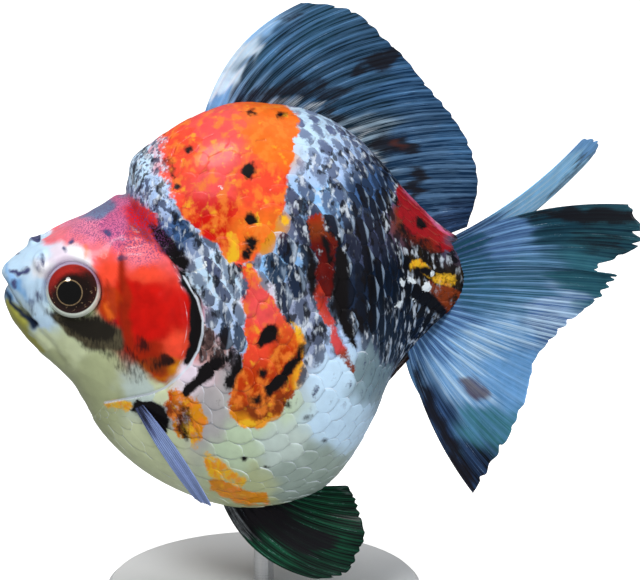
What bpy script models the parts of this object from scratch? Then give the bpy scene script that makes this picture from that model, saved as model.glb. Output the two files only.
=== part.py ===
"""A calico ryukin, a fancy goldfish, as a still life-size model on a small rod stand.

Run it with: blender --background --python part.py
The fish heads along -X, with its left side towards -Y. The origin is the middle of the
stand's underside, on the rod's axis. Tables are in millimetres, objects in metres.
"""

import math

import bpy
import numpy as np

MM = 0.001

# ---- driving dimensions, in millimetres -------------------------------------------------
GAP = 0.3  # between pieces that meet
RING_POINTS = 40  # points around the body
RINGS_PER_RIB = 2  # rings from one rib to the next
RAYS_PER_GUIDE = 3  # strips of a fin from one guide ray to the next
STEPS_ALONG_FIN = 6

# The ribs of the body, snout to tail root. Each is a closed ring from the back line down
# both sides to the belly line: back x, back z, belly x, belly z, half width, and how far
# the ring bows towards the tail at mid height.
RIBS = {
    "snout tip": (-51.6, 72.4, -51.6, 70.4, 0.9, 0.0),
    "lips": (-50.2, 74.7, -50.1, 63.2, 5.2, 0.0),
    "snout": (-46.6, 77.2, -45.6, 57.1, 9.2, 0.4),
    "nostrils": (-43.0, 79.3, -41.9, 53.3, 11.8, 1.6),
    "eyes": (-39.0, 81.6, -38.6, 49.8, 14.0, 4.0),
    "cheeks": (-34.0, 83.9, -36.0, 45.2, 16.2, 9.0),
    "gill edge": (-27.4, 87.7, -33.7, 40.5, 18.2, 17.0),
    "shoulder": (-25.7, 94.0, -29.8, 35.6, 19.6, 18.4),
    "hump": (-22.0, 97.3, -23.6, 30.2, 21.2, 17.6),
    "girdle": (-15.0, 101.8, -15.6, 25.8, 22.6, 15.0),
    "belly": (-6.0, 105.2, -6.6, 23.1, 23.2, 12.0),
    "middle": (3.0, 104.7, 2.6, 23.5, 22.8, 9.6),
    "flank": (11.0, 102.6, 11.0, 26.4, 20.6, 7.6),
    "vent": (18.0, 98.4, 17.1, 32.8, 14.8, 6.4),
    "anal fin": (24.0, 92.4, 21.2, 41.4, 9.8, 5.4),
    "stem": (29.8, 85.4, 25.0, 48.6, 6.8, 4.8),
    "stem end": (35.2, 79.9, 27.8, 52.8, 5.2, 5.0),
    "tail root": (39.2, 76.8, 29.6, 56.0, 4.2, 5.4),
}
HEAD_END, TRUNK_END = "gill edge", "stem"
WIDEST_HEAD, WIDEST_BODY = 0.52, 0.60  # how far down from the back the widest line lies
CROWN_FULLNESS, RIDGE_FULLNESS = 2.5, 1.85  # over 2 is boxy, under 2 is peaked
BELLY_FULLNESS = 2.2
SAC_SWELL = 1.5  # how far the sides of the belly sac stand out

EYE_PLACE = (-38.2, 11.8, 71.3)
EYE_RADIUS = 5.6
EYE_POINTS, EYE_RINGS = 20, 10

NOSTRIL_PLACE = (-44.1, 7.0, 76.2)
NOSTRIL_SIZE = (1.5, 1.3, 2.0)

GILL_FRONT, GILL_MIDDLE = -29.0, 66.4  # x of the cover's straight edge, z of its middle
GILL_REACH, GILL_HALF_HEIGHT = 13.0, 14.6
GILL_DEPTH = 12.6  # from the middle plane to the cover's flat inner face
GILL_POINTS = 10

# Side view of the lower jaw: mouth corner, in front of the lips, below the lips, chin.
JAW_OUTLINE = [(-45.8, 62.8), (-54.6, 75.0), (-58.0, 60.0), (-44.6, 52.0)]

# A fin is a fan of guide rays, each (root x, y, z, tip x, y, z) with y outwards. "thick" is
# its thickness at root and tip, "bow" how far the first and last rays arch, as a share of
# their length, and "ripple" the height and number of the waves across its edge.
DORSAL = {
    "rays": [
        (-11.4, 0, 102.6, 8.2, 0, 124.6),
        (-6.0, 0, 103.6, 18.2, 0, 122.6),
        (1.1, 0, 103.4, 25.7, 0, 116.0),
        (8.8, 0, 101.6, 32.0, 0, 108.8),
        (15.6, 0, 98.0, 37.7, 0, 102.0),
        (21.4, 0, 92.6, 42.0, 0, 94.6),
        (27.0, 0, 86.0, 43.4, 0, 86.1),
        (35.6, 0, 76.6, 41.4, 0, 78.6),
    ],
    "thick": (2.0, 0.6),
    "bow": (0.12, 0.0),
    "ripple": (0.5, 3.5),
}
TAIL_LEFT = {
    "rays": [
        (37.5, 2.0, 75.6, 67.4, 30.0, 88.9),
        (38.5, 2.2, 72.8, 68.2, 33.0, 81.8),
        (39.0, 2.4, 70.8, 61.2, 30.0, 76.2),
        (39.1, 2.4, 69.0, 64.6, 32.0, 75.6),
        (38.6, 2.5, 66.4, 62.2, 31.0, 71.0),
        (37.3, 2.5, 63.4, 55.5, 29.0, 65.5),
        (35.6, 2.5, 60.6, 50.5, 26.0, 58.0),
        (33.4, 2.5, 58.2, 48.9, 23.5, 49.6),
        (31.0, 2.4, 56.4, 44.9, 20.0, 38.0),
        (28.8, 2.2, 55.2, 39.8, 16.5, 28.3),
    ],
    "thick": (1.6, 0.6),
    "bow": (0.09, -0.065),
    "ripple": (0.8, 4.0),
}
TAIL_RIGHT = {
    "rays": [
        (37.5, 2.0, 75.6, 70.6, 25.0, 91.0),
        (38.3, 2.2, 74.0, 75.4, 31.0, 88.6),
        (39.0, 2.4, 71.8, 73.0, 34.0, 83.6),
        (38.9, 2.5, 69.2, 61.4, 28.0, 76.8),
        (38.2, 2.5, 66.2, 58.0, 27.0, 70.0),
        (36.6, 2.5, 62.8, 55.0, 28.0, 62.0),
        (34.6, 2.5, 59.8, 50.0, 26.0, 54.0),
        (32.0, 2.4, 57.2, 45.5, 21.0, 42.0),
        (28.8, 2.2, 55.2, 40.0, 17.0, 33.0),
    ],
    "thick": (1.6, 0.6),
    "bow": (-0.05, -0.08),
    "ripple": (0.6, 3.0),
}
PECTORAL = {
    "rays": [
        (-26.6, 12.6, 49.6, -13.4, 28.0, 31.5),
        (-27.0, 12.4, 49.2, -14.5, 25.6, 31.1),
        (-27.4, 12.2, 48.8, -16.0, 23.0, 31.2),
    ],
    "thick": (1.5, 0.6),
    "bow": (0.035, -0.035),
    "ripple": (0.3, 2.0),
}
PELVIC_LEFT = {
    "rays": [
        (-9.6, 5.0, 26.4, 8.5, 15.0, 11.0),
        (-6.0, 5.4, 26.6, 15.2, 17.0, 13.2),
        (-2.0, 5.8, 26.8, 18.0, 16.0, 20.0),
        (1.3, 6.0, 27.2, 17.5, 13.5, 25.4),
        (4.0, 6.2, 27.6, 15.9, 10.0, 28.6),
    ],
    "thick": (1.5, 0.6),
    "bow": (-0.15, 0.0),
    "ripple": (0.5, 2.5),
}
PELVIC_RIGHT = {
    "rays": [
        (-8.5, 5.0, 26.4, 6.5, 12.0, 11.4),
        (-5.0, 5.4, 26.6, 11.8, 13.0, 12.2),
        (-1.5, 5.8, 26.8, 14.6, 12.0, 15.4),
        (1.3, 6.0, 26.8, 15.0, 10.5, 18.6),
        (3.5, 6.2, 26.8, 13.6, 9.0, 21.6),
    ],
    "thick": (1.5, 0.6),
    "bow": (-0.15, 0.0),
    "ripple": (0.5, 2.5),
}
ANAL = {
    "rays": [
        (21.6, 0.9, 43.0, 28.8, 1.5, 51.6),
        (23.5, 0.9, 46.5, 30.4, 1.4, 53.0),
        (25.0, 0.9, 49.8, 30.4, 1.2, 54.6),
    ],
    "thick": (1.2, 0.6),
    "bow": (0.0, 0.0),
    "ripple": (0.0, 0.0),
}

BASE_RADIUS, BASE_HEIGHT, BASE_BEVEL = 32.0, 6.0, 1.0
BASE_POINTS = 64
ROD_RADIUS, ROD_POINTS = 2.0, 20
ROD_REACH = 30.0  # how high the rod starts, before the belly trims it

# name: colour, roughness, metallic
FINISHES = {
    "skin": ((0.80, 0.22, 0.10, 1), 0.35, 0.0),
    "gill plate": ((0.75, 0.10, 0.05, 1), 0.30, 0.0),
    "eye": ((0.10, 0.04, 0.04, 1), 0.08, 0.0),
    "fin": ((0.08, 0.14, 0.24, 1), 0.40, 0.0),
    "base": ((0.72, 0.73, 0.74, 1), 0.45, 0.0),
    "steel": ((0.62, 0.63, 0.65, 1), 0.30, 1.0),
}


# ---- curves and surfaces ----------------------------------------------------------------
def between(rows, u):
    """The rows of a table at u, counted in rows, along a smooth curve through all of them."""
    rows = np.asarray(rows, float)
    u = np.clip(np.asarray(u, float), 0, len(rows) - 1)
    i = np.minimum(u.astype(int), len(rows) - 2)
    f = (u - i)[..., None]
    start, end = rows[i], rows[i + 1]
    leave = (end - rows[np.maximum(i - 1, 0)]) / 2
    arrive = (rows[np.minimum(i + 2, len(rows) - 1)] - start) / 2
    return (
        (2 * f**3 - 3 * f**2 + 1) * start
        + (f**3 - 2 * f**2 + f) * leave
        + (3 * f**2 - 2 * f**3) * end
        + (f**3 - f**2) * arrive
    )


def rib(name):
    return list(RIBS).index(name)


def ease(value, low, high):
    """0 below low, 1 above high, and smooth between."""
    t = np.clip((value - low) / (high - low), 0, 1)
    return t * t * (3 - 2 * t)


def body_surface(u, turn):
    """Points of the body: u counts ribs from the snout, turn is 0 on the back line, a half
    on the belly line, under a half on the left side and over it on the right."""
    u, turn = np.broadcast_arrays(np.asarray(u, float), np.asarray(turn, float))
    row = between(list(RIBS.values()), u)
    back, belly = row[..., 0:2], row[..., 2:4]
    half_width, bow = row[..., 4], row[..., 5]
    behind_head = ease(u, rib("cheeks"), rib("hump"))
    widest = WIDEST_HEAD + (WIDEST_BODY - WIDEST_HEAD) * behind_head
    above = CROWN_FULLNESS + (RIDGE_FULLNESS - CROWN_FULLNESS) * behind_head
    angle = 2 * math.pi * turn
    up, out = np.cos(angle), -np.sin(angle)
    power = 2 / np.where(up > 0, above, BELLY_FULLNESS)
    sac = ease(u, rib("shoulder"), rib("belly")) * (1 - ease(u, rib("middle"), rib("vent")))
    half_width = half_width + SAC_SWELL * sac * ease(-up, -0.3, 0.3)
    rise = np.sign(up) * np.abs(up) ** power
    down = widest - rise * np.where(up > 0, widest, 1 - widest)
    side = np.sign(out) * np.abs(out) ** power * half_width
    middle = back + (belly - back) * down[..., None]
    x = middle[..., 0] + bow * np.sin(math.pi * down)
    return np.stack([x, side, middle[..., 1]], -1)


def body_outward(u, turn, reach=1e-3):
    """Unit normals of body_surface."""
    along = body_surface(u + reach, turn) - body_surface(u - reach, turn)
    around = body_surface(u, turn + reach) - body_surface(u, turn - reach)
    normal = np.cross(around, along)
    return normal / np.linalg.norm(normal, axis=-1, keepdims=True)


def fin_sheet(fin, k, r):
    """Points of a fin's middle sheet: k runs over its rays, 0 to 1, and r from root to tip."""
    k, r = np.broadcast_arrays(np.asarray(k, float), np.asarray(r, float))
    row = between(fin["rays"], k * (len(fin["rays"]) - 1))
    root, tip = row[..., 0:3], row[..., 3:6]
    ray = tip - root
    first, last = fin["bow"]
    arch = (first + (last - first) * k) * 4 * r * (1 - r)
    forward = np.stack([-ray[..., 2], np.zeros_like(k), ray[..., 0]], -1)
    height, waves = fin["ripple"]
    sway = height * np.sin(2 * math.pi * waves * k) * r**2
    flat = root + ray * r[..., None] + forward * arch[..., None]
    return flat + np.stack([np.zeros_like(k), sway, np.zeros_like(k)], -1)


# ---- meshes and objects -----------------------------------------------------------------
def finish(name):
    material = bpy.data.materials.get(name)
    if material:
        return material
    colour, roughness, metallic = FINISHES[name]
    material = bpy.data.materials.new(name)
    material.use_nodes = True
    shader = material.node_tree.nodes["Principled BSDF"]
    shader.inputs["Base Color"].default_value = colour
    shader.inputs["Roughness"].default_value = roughness
    shader.inputs["Metallic"].default_value = metallic
    material.diffuse_color = colour
    return material


def solid(name, points, faces, material):
    """An object from points in millimetres and faces that point outwards."""
    mesh = bpy.data.meshes.new(name)
    mesh.from_pydata((np.asarray(points) * MM).tolist(), [], faces)
    mesh.materials.append(finish(material))
    mesh.shade_smooth()
    mesh.set_sharp_from_angle(angle=math.radians(40))
    made = bpy.data.objects.new(name, mesh)
    bpy.context.scene.collection.objects.link(made)
    return made


def cutter(name, points, faces):
    made = solid(name, points, faces, "skin")
    made.hide_render = True
    made.display_type = "WIRE"
    return made


def combine(target, other, operation):
    """A Boolean modifier on target: DIFFERENCE, INTERSECT or UNION with other."""
    modifier = target.modifiers.new(f"{operation.lower()} {other.name}", "BOOLEAN")
    modifier.operation = operation
    modifier.object = other
    return target


def tube(rings):
    """Points and faces of a closed tube through rings of equal count, capped at both ends."""
    count, around = rings.shape[:2]
    ends = [rings[0].mean(0), rings[-1].mean(0)]
    points = np.concatenate([rings.reshape(-1, 3), ends])
    front, rear = count * around, count * around + 1
    faces = []
    for j in range(around):
        n = (j + 1) % around
        for i in range(count - 1):
            a, b = i * around, (i + 1) * around
            faces.append((a + j, a + n, b + n, b + j))
        last = (count - 1) * around
        faces.append((front, n, j))
        faces.append((rear, last + j, last + n))
    return points, faces


def body_tube(first, last, lead=0.0, trail=0.0, swell=0.0):
    """The body from rib first to rib last, its end rings shifted along X, its skin swollen."""
    u = np.linspace(first, last, round((last - first) * RINGS_PER_RIB) + 1)
    turn = np.arange(RING_POINTS) / RING_POINTS
    rings = body_surface(u[:, None], turn[None, :])
    if swell:
        rings = rings + swell * body_outward(u[:, None], turn[None, :])
    rings[0, :, 0] += lead
    rings[-1, :, 0] += trail
    return tube(rings)


def fan(fin, side):
    """Points and faces of a fin on side -1, the left, or +1, the right."""
    across = (len(fin["rays"]) - 1) * RAYS_PER_GUIDE
    k = np.linspace(0, 1, across + 1)[:, None]
    r = np.linspace(0, 1, STEPS_ALONG_FIN + 1)[None, :]
    middle = fin_sheet(fin, k, r)
    over_k = np.gradient(middle, axis=0)
    over_r = np.gradient(middle, axis=1)
    normal = np.cross(over_k, over_r)
    normal /= np.linalg.norm(normal, axis=-1, keepdims=True)
    root, tip = fin["thick"]
    half = (root + (tip - root) * np.sqrt(r)) / 2
    half = half * np.ones_like(k)
    sheets = np.stack([middle + normal * half[..., None], middle - normal * half[..., None]])
    sheets[..., 1] *= side
    return closed_sheets(sheets, flipped=side < 0)


def closed_sheets(sheets, flipped):
    """Joins two sheets of the same grid round their border into one closed solid."""
    _, rows, columns = sheets.shape[:3]
    number = np.arange(2 * rows * columns).reshape(2, rows, columns)
    faces = []
    for i in range(rows - 1):
        for j in range(columns - 1):
            top, low = number[0], number[1]
            faces.append((top[i, j], top[i + 1, j], top[i + 1, j + 1], top[i, j + 1]))
            faces.append((low[i, j], low[i, j + 1], low[i + 1, j + 1], low[i + 1, j]))
    rim = [(i, 0) for i in range(rows)]
    rim += [(rows - 1, j) for j in range(1, columns)]
    rim += [(i, columns - 1) for i in range(rows - 2, -1, -1)]
    rim += [(0, j) for j in range(columns - 2, 0, -1)]
    for here, there in zip(rim, rim[1:] + rim[:1]):
        faces.append((number[0][there], number[0][here], number[1][here], number[1][there]))
    if flipped:
        faces = [face[::-1] for face in faces]
    return sheets.reshape(-1, 3), [tuple(int(n) for n in face) for face in faces]


def prism(outline, low, high):
    """An outline in the XZ plane, counter-clockwise seen from -Y, stretched from y low to high."""
    count = len(outline)
    points = [(x, y, z) for y in (low, high) for x, z in outline]
    faces = [tuple(range(count)), tuple(range(2 * count - 1, count - 1, -1))]
    for i in range(count):
        n = (i + 1) % count
        faces.append((n, i, count + i, count + n))
    return points, faces


def grown(outline, by):
    """A convex counter-clockwise outline with every side moved out."""
    p = np.asarray(outline, float)
    before = p - np.roll(p, 1, axis=0)
    after = np.roll(p, -1, axis=0) - p
    out = [
        np.stack([side[:, 1], -side[:, 0]], -1) / np.linalg.norm(side, axis=1)[:, None]
        for side in (before, after)
    ]
    corner = 1 + (out[0] * out[1]).sum(1)
    return p + by * (out[0] + out[1]) / corner[:, None]


def ball(place, size, around, rings):
    """An ellipsoid with its poles along Y."""
    tilt = np.linspace(0, math.pi, rings + 1)[1:-1, None]
    angle = -np.arange(around)[None, :] * 2 * math.pi / around
    unit = np.stack(
        [
            np.sin(tilt) * np.cos(angle),
            -np.cos(tilt) * np.ones_like(angle),
            np.sin(tilt) * np.sin(angle),
        ],
        -1,
    )
    points, faces = tube(unit)
    points[-2:] = (0, -1, 0), (0, 1, 0)
    return points * np.asarray(size) + np.asarray(place), faces


# ---- the fish ---------------------------------------------------------------------------
def mirrored(place, side):
    return (place[0], side * place[1], place[2])


def gill_outline():
    angle = np.linspace(-math.pi / 2, math.pi / 2, GILL_POINTS + 1)
    x = GILL_FRONT + GILL_REACH * np.cos(angle)
    z = GILL_MIDDLE + GILL_HALF_HEIGHT * np.sin(angle)
    return np.stack([x, z], -1)


def gill_prism(side, by):
    near, far = GILL_DEPTH - by, 2 * GILL_DEPTH
    low, high = sorted((side * near, side * far))
    return prism(grown(gill_outline(), by), low, high)


def make_head():
    points, faces = body_tube(0, rib(HEAD_END), trail=-GAP / 2)
    head = solid("head", points, faces, "skin")
    whole = cutter("cut_whole_head", points, faces)
    jaw = solid("lower_jaw", points, faces, "skin")
    reach = 2 * EYE_RADIUS
    combine(jaw, cutter("cut_jaw", *prism(JAW_OUTLINE, -reach, reach)), "INTERSECT")
    room = cutter("cut_jaw_room", *prism(grown(JAW_OUTLINE, GAP), -reach - GAP, reach + GAP))
    combine(head, room, "DIFFERENCE")
    for name, side in (("left", -1), ("right", 1)):
        cover = solid(f"gill_cover_{name}", *gill_prism(side, 0), "gill plate")
        combine(cover, whole, "INTERSECT")
        combine(head, cutter(f"cut_gill_{name}", *gill_prism(side, GAP)), "DIFFERENCE")
        place = mirrored(EYE_PLACE, side)
        eye = ball(place, [EYE_RADIUS] * 3, EYE_POINTS, EYE_RINGS)
        solid(f"eye_{name}", *eye, "eye")
        socket = ball(place, [EYE_RADIUS + GAP] * 3, EYE_POINTS, EYE_RINGS)
        combine(head, cutter(f"cut_eye_{name}", *socket), "DIFFERENCE")
        flap = ball(mirrored(NOSTRIL_PLACE, side), NOSTRIL_SIZE, 12, 8)
        combine(head, cutter(f"join_nostril_{name}", *flap), "UNION")


def make_trunk():
    head_end, trunk_end = rib(HEAD_END), rib(TRUNK_END)
    trunk = body_tube(head_end, trunk_end, lead=GAP / 2, trail=-GAP / 2)
    solid("trunk", *trunk, "skin")
    stem = body_tube(trunk_end, len(RIBS) - 1, lead=GAP / 2)
    solid("tail_stem", *stem, "skin")


def make_fins():
    """Every fin runs into the body and is trimmed back to just clear of it."""
    room = cutter("cut_body", *body_tube(0, len(RIBS) - 1, -GAP, GAP, GAP))
    fins = {
        "dorsal_fin": (DORSAL, 1),
        "tail_fin_left": (TAIL_LEFT, -1),
        "tail_fin_right": (TAIL_RIGHT, 1),
        "pectoral_fin_left": (PECTORAL, -1),
        "pectoral_fin_right": (PECTORAL, 1),
        "pelvic_fin_left": (PELVIC_LEFT, -1),
        "pelvic_fin_right": (PELVIC_RIGHT, 1),
        "anal_fin_left": (ANAL, -1),
        "anal_fin_right": (ANAL, 1),
    }
    for name, (fin, side) in fins.items():
        combine(solid(name, *fan(fin, side), "fin"), room, "DIFFERENCE")
    return room


# ---- the stand --------------------------------------------------------------------------
def turned(profile, around):
    """A solid turned about Z from (radius, z) pairs, bottom to top."""
    angle = np.arange(around) * 2 * math.pi / around
    rings = [
        np.stack([r * np.cos(angle), r * np.sin(angle), np.full(around, z)], -1)
        for r, z in profile
    ]
    return tube(np.array(rings))


def make_stand(belly):
    chamfer = BASE_RADIUS - BASE_BEVEL
    plate = [(BASE_RADIUS, 0), (BASE_RADIUS, BASE_HEIGHT - BASE_BEVEL), (chamfer, BASE_HEIGHT)]
    solid("stand_base", *turned(plate, BASE_POINTS), "base")
    rod = [(ROD_RADIUS, BASE_HEIGHT + GAP), (ROD_RADIUS, ROD_REACH)]
    combine(solid("stand_rod", *turned(rod, ROD_POINTS), "steel"), belly, "DIFFERENCE")


def main():
    for thing in list(bpy.data.objects):
        bpy.data.objects.remove(thing)
    make_head()
    make_trunk()
    make_stand(make_fins())


if __name__ == "__main__":
    main()
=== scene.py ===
"""The looks of a still, life-size calico ryukin on its rod stand.

The frame gives the solids. This script lays one skin over the flesh, plates the body with
scales, and makes the eyes, the fins, the stand's finishes and the stage. The fish heads
along -X with its left side towards -Y. Tables are in millimetres, objects in metres.
"""

import math

import bpy
import numpy as np
from bpy.props import FloatProperty, FloatVectorProperty, IntProperty
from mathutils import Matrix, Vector


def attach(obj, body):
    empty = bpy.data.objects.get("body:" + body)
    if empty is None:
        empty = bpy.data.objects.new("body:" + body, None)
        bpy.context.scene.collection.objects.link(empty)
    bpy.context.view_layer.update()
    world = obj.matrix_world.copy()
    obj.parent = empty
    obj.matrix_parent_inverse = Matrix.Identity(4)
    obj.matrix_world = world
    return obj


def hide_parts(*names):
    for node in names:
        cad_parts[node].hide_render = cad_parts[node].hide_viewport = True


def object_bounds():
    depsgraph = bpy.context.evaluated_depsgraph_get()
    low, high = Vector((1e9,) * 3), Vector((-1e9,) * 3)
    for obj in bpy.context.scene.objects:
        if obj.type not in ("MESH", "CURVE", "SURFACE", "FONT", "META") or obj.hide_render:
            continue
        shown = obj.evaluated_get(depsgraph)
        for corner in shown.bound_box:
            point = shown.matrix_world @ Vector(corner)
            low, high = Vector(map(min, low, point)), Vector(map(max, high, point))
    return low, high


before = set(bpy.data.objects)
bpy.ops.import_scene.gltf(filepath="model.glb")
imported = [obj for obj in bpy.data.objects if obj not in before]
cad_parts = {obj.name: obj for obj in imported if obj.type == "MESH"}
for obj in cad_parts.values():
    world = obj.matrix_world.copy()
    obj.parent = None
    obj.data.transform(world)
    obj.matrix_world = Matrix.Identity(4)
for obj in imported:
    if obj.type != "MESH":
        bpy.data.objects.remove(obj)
CAD_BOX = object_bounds()

bl_info = {
    "name": "Calico Ryukin",
    "version": (1, 0, 0),
    "blender": (4, 5, 0),
    "location": "3D View > Sidebar > Ryukin",
    "description": "Dresses the solids of a display goldfish with skin, scales, eyes and fins",
    "category": "Object",
}

MM = 0.001

# ---- the body's driving dimensions ------------------------------------------------------
# Rings from the back line down both sides to the belly line: back x, back z, belly x,
# belly z, half width, and how far the ring bows towards the tail at mid height.
RIBS = {
    "snout tip": (-51.6, 72.4, -51.6, 70.4, 0.9, 0.0),
    "lips": (-50.2, 74.7, -50.1, 63.2, 5.2, 0.0),
    "snout": (-46.6, 77.2, -45.6, 57.1, 9.2, 0.4),
    "nostrils": (-43.0, 79.3, -41.9, 53.3, 11.8, 1.6),
    "eyes": (-39.0, 81.6, -38.6, 49.8, 14.0, 4.0),
    "cheeks": (-34.0, 83.9, -36.0, 45.2, 16.2, 9.0),
    "gill edge": (-27.4, 87.7, -33.7, 40.5, 18.2, 17.0),
    "shoulder": (-25.7, 94.0, -29.8, 35.6, 19.6, 18.4),
    "hump": (-22.0, 97.3, -23.6, 30.2, 21.2, 17.6),
    "girdle": (-15.0, 101.8, -15.6, 25.8, 22.6, 15.0),
    "belly": (-6.0, 105.2, -6.6, 23.1, 23.2, 12.0),
    "middle": (3.0, 104.7, 2.6, 23.5, 22.8, 9.6),
    "flank": (11.0, 102.6, 11.0, 26.4, 20.6, 7.6),
    "vent": (18.0, 98.4, 17.1, 32.8, 14.8, 6.4),
    "anal fin": (24.0, 92.4, 21.2, 41.4, 9.8, 5.4),
    "stem": (29.8, 85.4, 25.0, 48.6, 6.8, 4.8),
    "stem end": (35.2, 79.9, 27.8, 52.8, 5.2, 5.0),
    "tail root": (39.2, 76.8, 29.6, 56.0, 4.2, 5.4),
}
LAST_RIB = len(RIBS) - 1
WIDEST_HEAD, WIDEST_BODY = 0.52, 0.60  # how far down a ring is widest, as a share
CROWN_FULLNESS, RIDGE_FULLNESS = 2.5, 1.85  # how full it is above there: 2 is an ellipse
BELLY_FULLNESS = 2.2  # the same below there
SAC_SWELL = 1.5  # how far the low flanks swell beyond the half width

EYE_PLACE = (-38.2, 11.8, 71.3)
EYE_RADIUS = 5.6

# Fins as fans of guide rays, each (root x, y, z, tip x, y, z) with y outwards.
DORSAL = {
    "rays": [
        (-11.4, 0, 102.6, 8.2, 0, 124.6),
        (-6.0, 0, 103.6, 18.2, 0, 122.6),
        (1.1, 0, 103.4, 25.7, 0, 116.0),
        (8.8, 0, 101.6, 32.0, 0, 108.8),
        (15.6, 0, 98.0, 37.7, 0, 102.0),
        (21.4, 0, 92.6, 42.0, 0, 94.6),
        (27.0, 0, 86.0, 43.4, 0, 86.1),
        (35.6, 0, 76.6, 41.4, 0, 78.6),
    ],
    "bow": (0.12, 0.0),
    "ripple": (0.5, 3.5),
}
TAIL_LEFT = {
    "rays": [
        (37.5, 2.0, 75.6, 67.4, 30.0, 88.9),
        (38.5, 2.2, 72.8, 68.2, 33.0, 81.8),
        (39.0, 2.4, 70.8, 61.2, 30.0, 76.2),
        (39.1, 2.4, 69.0, 64.6, 32.0, 75.6),
        (38.6, 2.5, 66.4, 62.2, 31.0, 71.0),
        (37.3, 2.5, 63.4, 55.5, 29.0, 65.5),
        (35.6, 2.5, 60.6, 50.5, 26.0, 58.0),
        (33.4, 2.5, 58.2, 48.9, 23.5, 49.6),
        (31.0, 2.4, 56.4, 44.9, 20.0, 38.0),
        (28.8, 2.2, 55.2, 39.8, 16.5, 28.3),
    ],
    "bow": (0.09, -0.065),
    "ripple": (0.8, 4.0),
}
TAIL_RIGHT = {
    "rays": [
        (37.5, 2.0, 75.6, 70.6, 25.0, 91.0),
        (38.3, 2.2, 74.0, 75.4, 31.0, 88.6),
        (39.0, 2.4, 71.8, 73.0, 34.0, 83.6),
        (38.9, 2.5, 69.2, 61.4, 28.0, 76.8),
        (38.2, 2.5, 66.2, 58.0, 27.0, 70.0),
        (36.6, 2.5, 62.8, 55.0, 28.0, 62.0),
        (34.6, 2.5, 59.8, 50.0, 26.0, 54.0),
        (32.0, 2.4, 57.2, 45.5, 21.0, 42.0),
        (28.8, 2.2, 55.2, 40.0, 17.0, 33.0),
    ],
    "bow": (-0.05, -0.08),
    "ripple": (0.6, 3.0),
}
PECTORAL = {
    "rays": [
        (-26.6, 12.6, 49.6, -13.4, 28.0, 31.5),
        (-27.0, 12.4, 49.2, -14.5, 25.6, 31.1),
        (-27.4, 12.2, 48.8, -16.0, 23.0, 31.2),
    ],
    "bow": (0.035, -0.035),
    "ripple": (0.3, 2.0),
}
PELVIC_LEFT = {
    "rays": [
        (-9.6, 5.0, 26.4, 8.5, 15.0, 11.0),
        (-6.0, 5.4, 26.6, 15.2, 17.0, 13.2),
        (-2.0, 5.8, 26.8, 18.0, 16.0, 20.0),
        (1.3, 6.0, 27.2, 17.5, 13.5, 25.4),
        (4.0, 6.2, 27.6, 15.9, 10.0, 28.6),
    ],
    "bow": (-0.15, 0.0),
    "ripple": (0.5, 2.5),
}
PELVIC_RIGHT = {
    "rays": [
        (-8.5, 5.0, 26.4, 6.5, 12.0, 11.4),
        (-5.0, 5.4, 26.6, 11.8, 13.0, 12.2),
        (-1.5, 5.8, 26.8, 14.6, 12.0, 15.4),
        (1.3, 6.0, 26.8, 15.0, 10.5, 18.6),
        (3.5, 6.2, 26.8, 13.6, 9.0, 21.6),
    ],
    "bow": (-0.15, 0.0),
    "ripple": (0.5, 2.5),
}
ANAL = {
    "rays": [
        (21.6, 0.9, 43.0, 28.8, 1.5, 51.6),
        (23.5, 0.9, 46.5, 30.4, 1.4, 53.0),
        (25.0, 0.9, 49.8, 30.4, 1.2, 54.6),
    ],
    "bow": (0.0, 0.0),
    "ripple": (0.0, 0.0),
}

# ---- markings ---------------------------------------------------------------------------
# A place on the fish is given as (a, b), in millimetres: across and up a sight plane that
# stands through the fish, square to the line from a viewpoint off its own flank. The scales
# make a and b read close to X and Z on the middle plane.
SIGHT_CENTRE = np.array([11.6, 0.0, 66.6])
SIGHT_AWAY = 600.0
SIGHT_TURN, SIGHT_RISE = math.radians(-8), math.radians(14)
SIGHT_SCALE = (SIGHT_AWAY / math.cos(SIGHT_TURN), SIGHT_AWAY / math.cos(SIGHT_RISE))

MOTTLE = 0.5  # how deep a mark is before it is fully opaque
GROUND_SPREAD, GROUND_POWER = 1.5, 3.0  # how soon one ground gives way to the next
SCALE_UNITY, MARK_UNITY = 0.35, 0.1  # how far a scale takes one ground, or one mark, all over
RAGGED = 0.7  # how far the edges of markings wander
FAR_SIDE_STRAY = 3.5  # how far the far side's markings wander from the near side's

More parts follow.
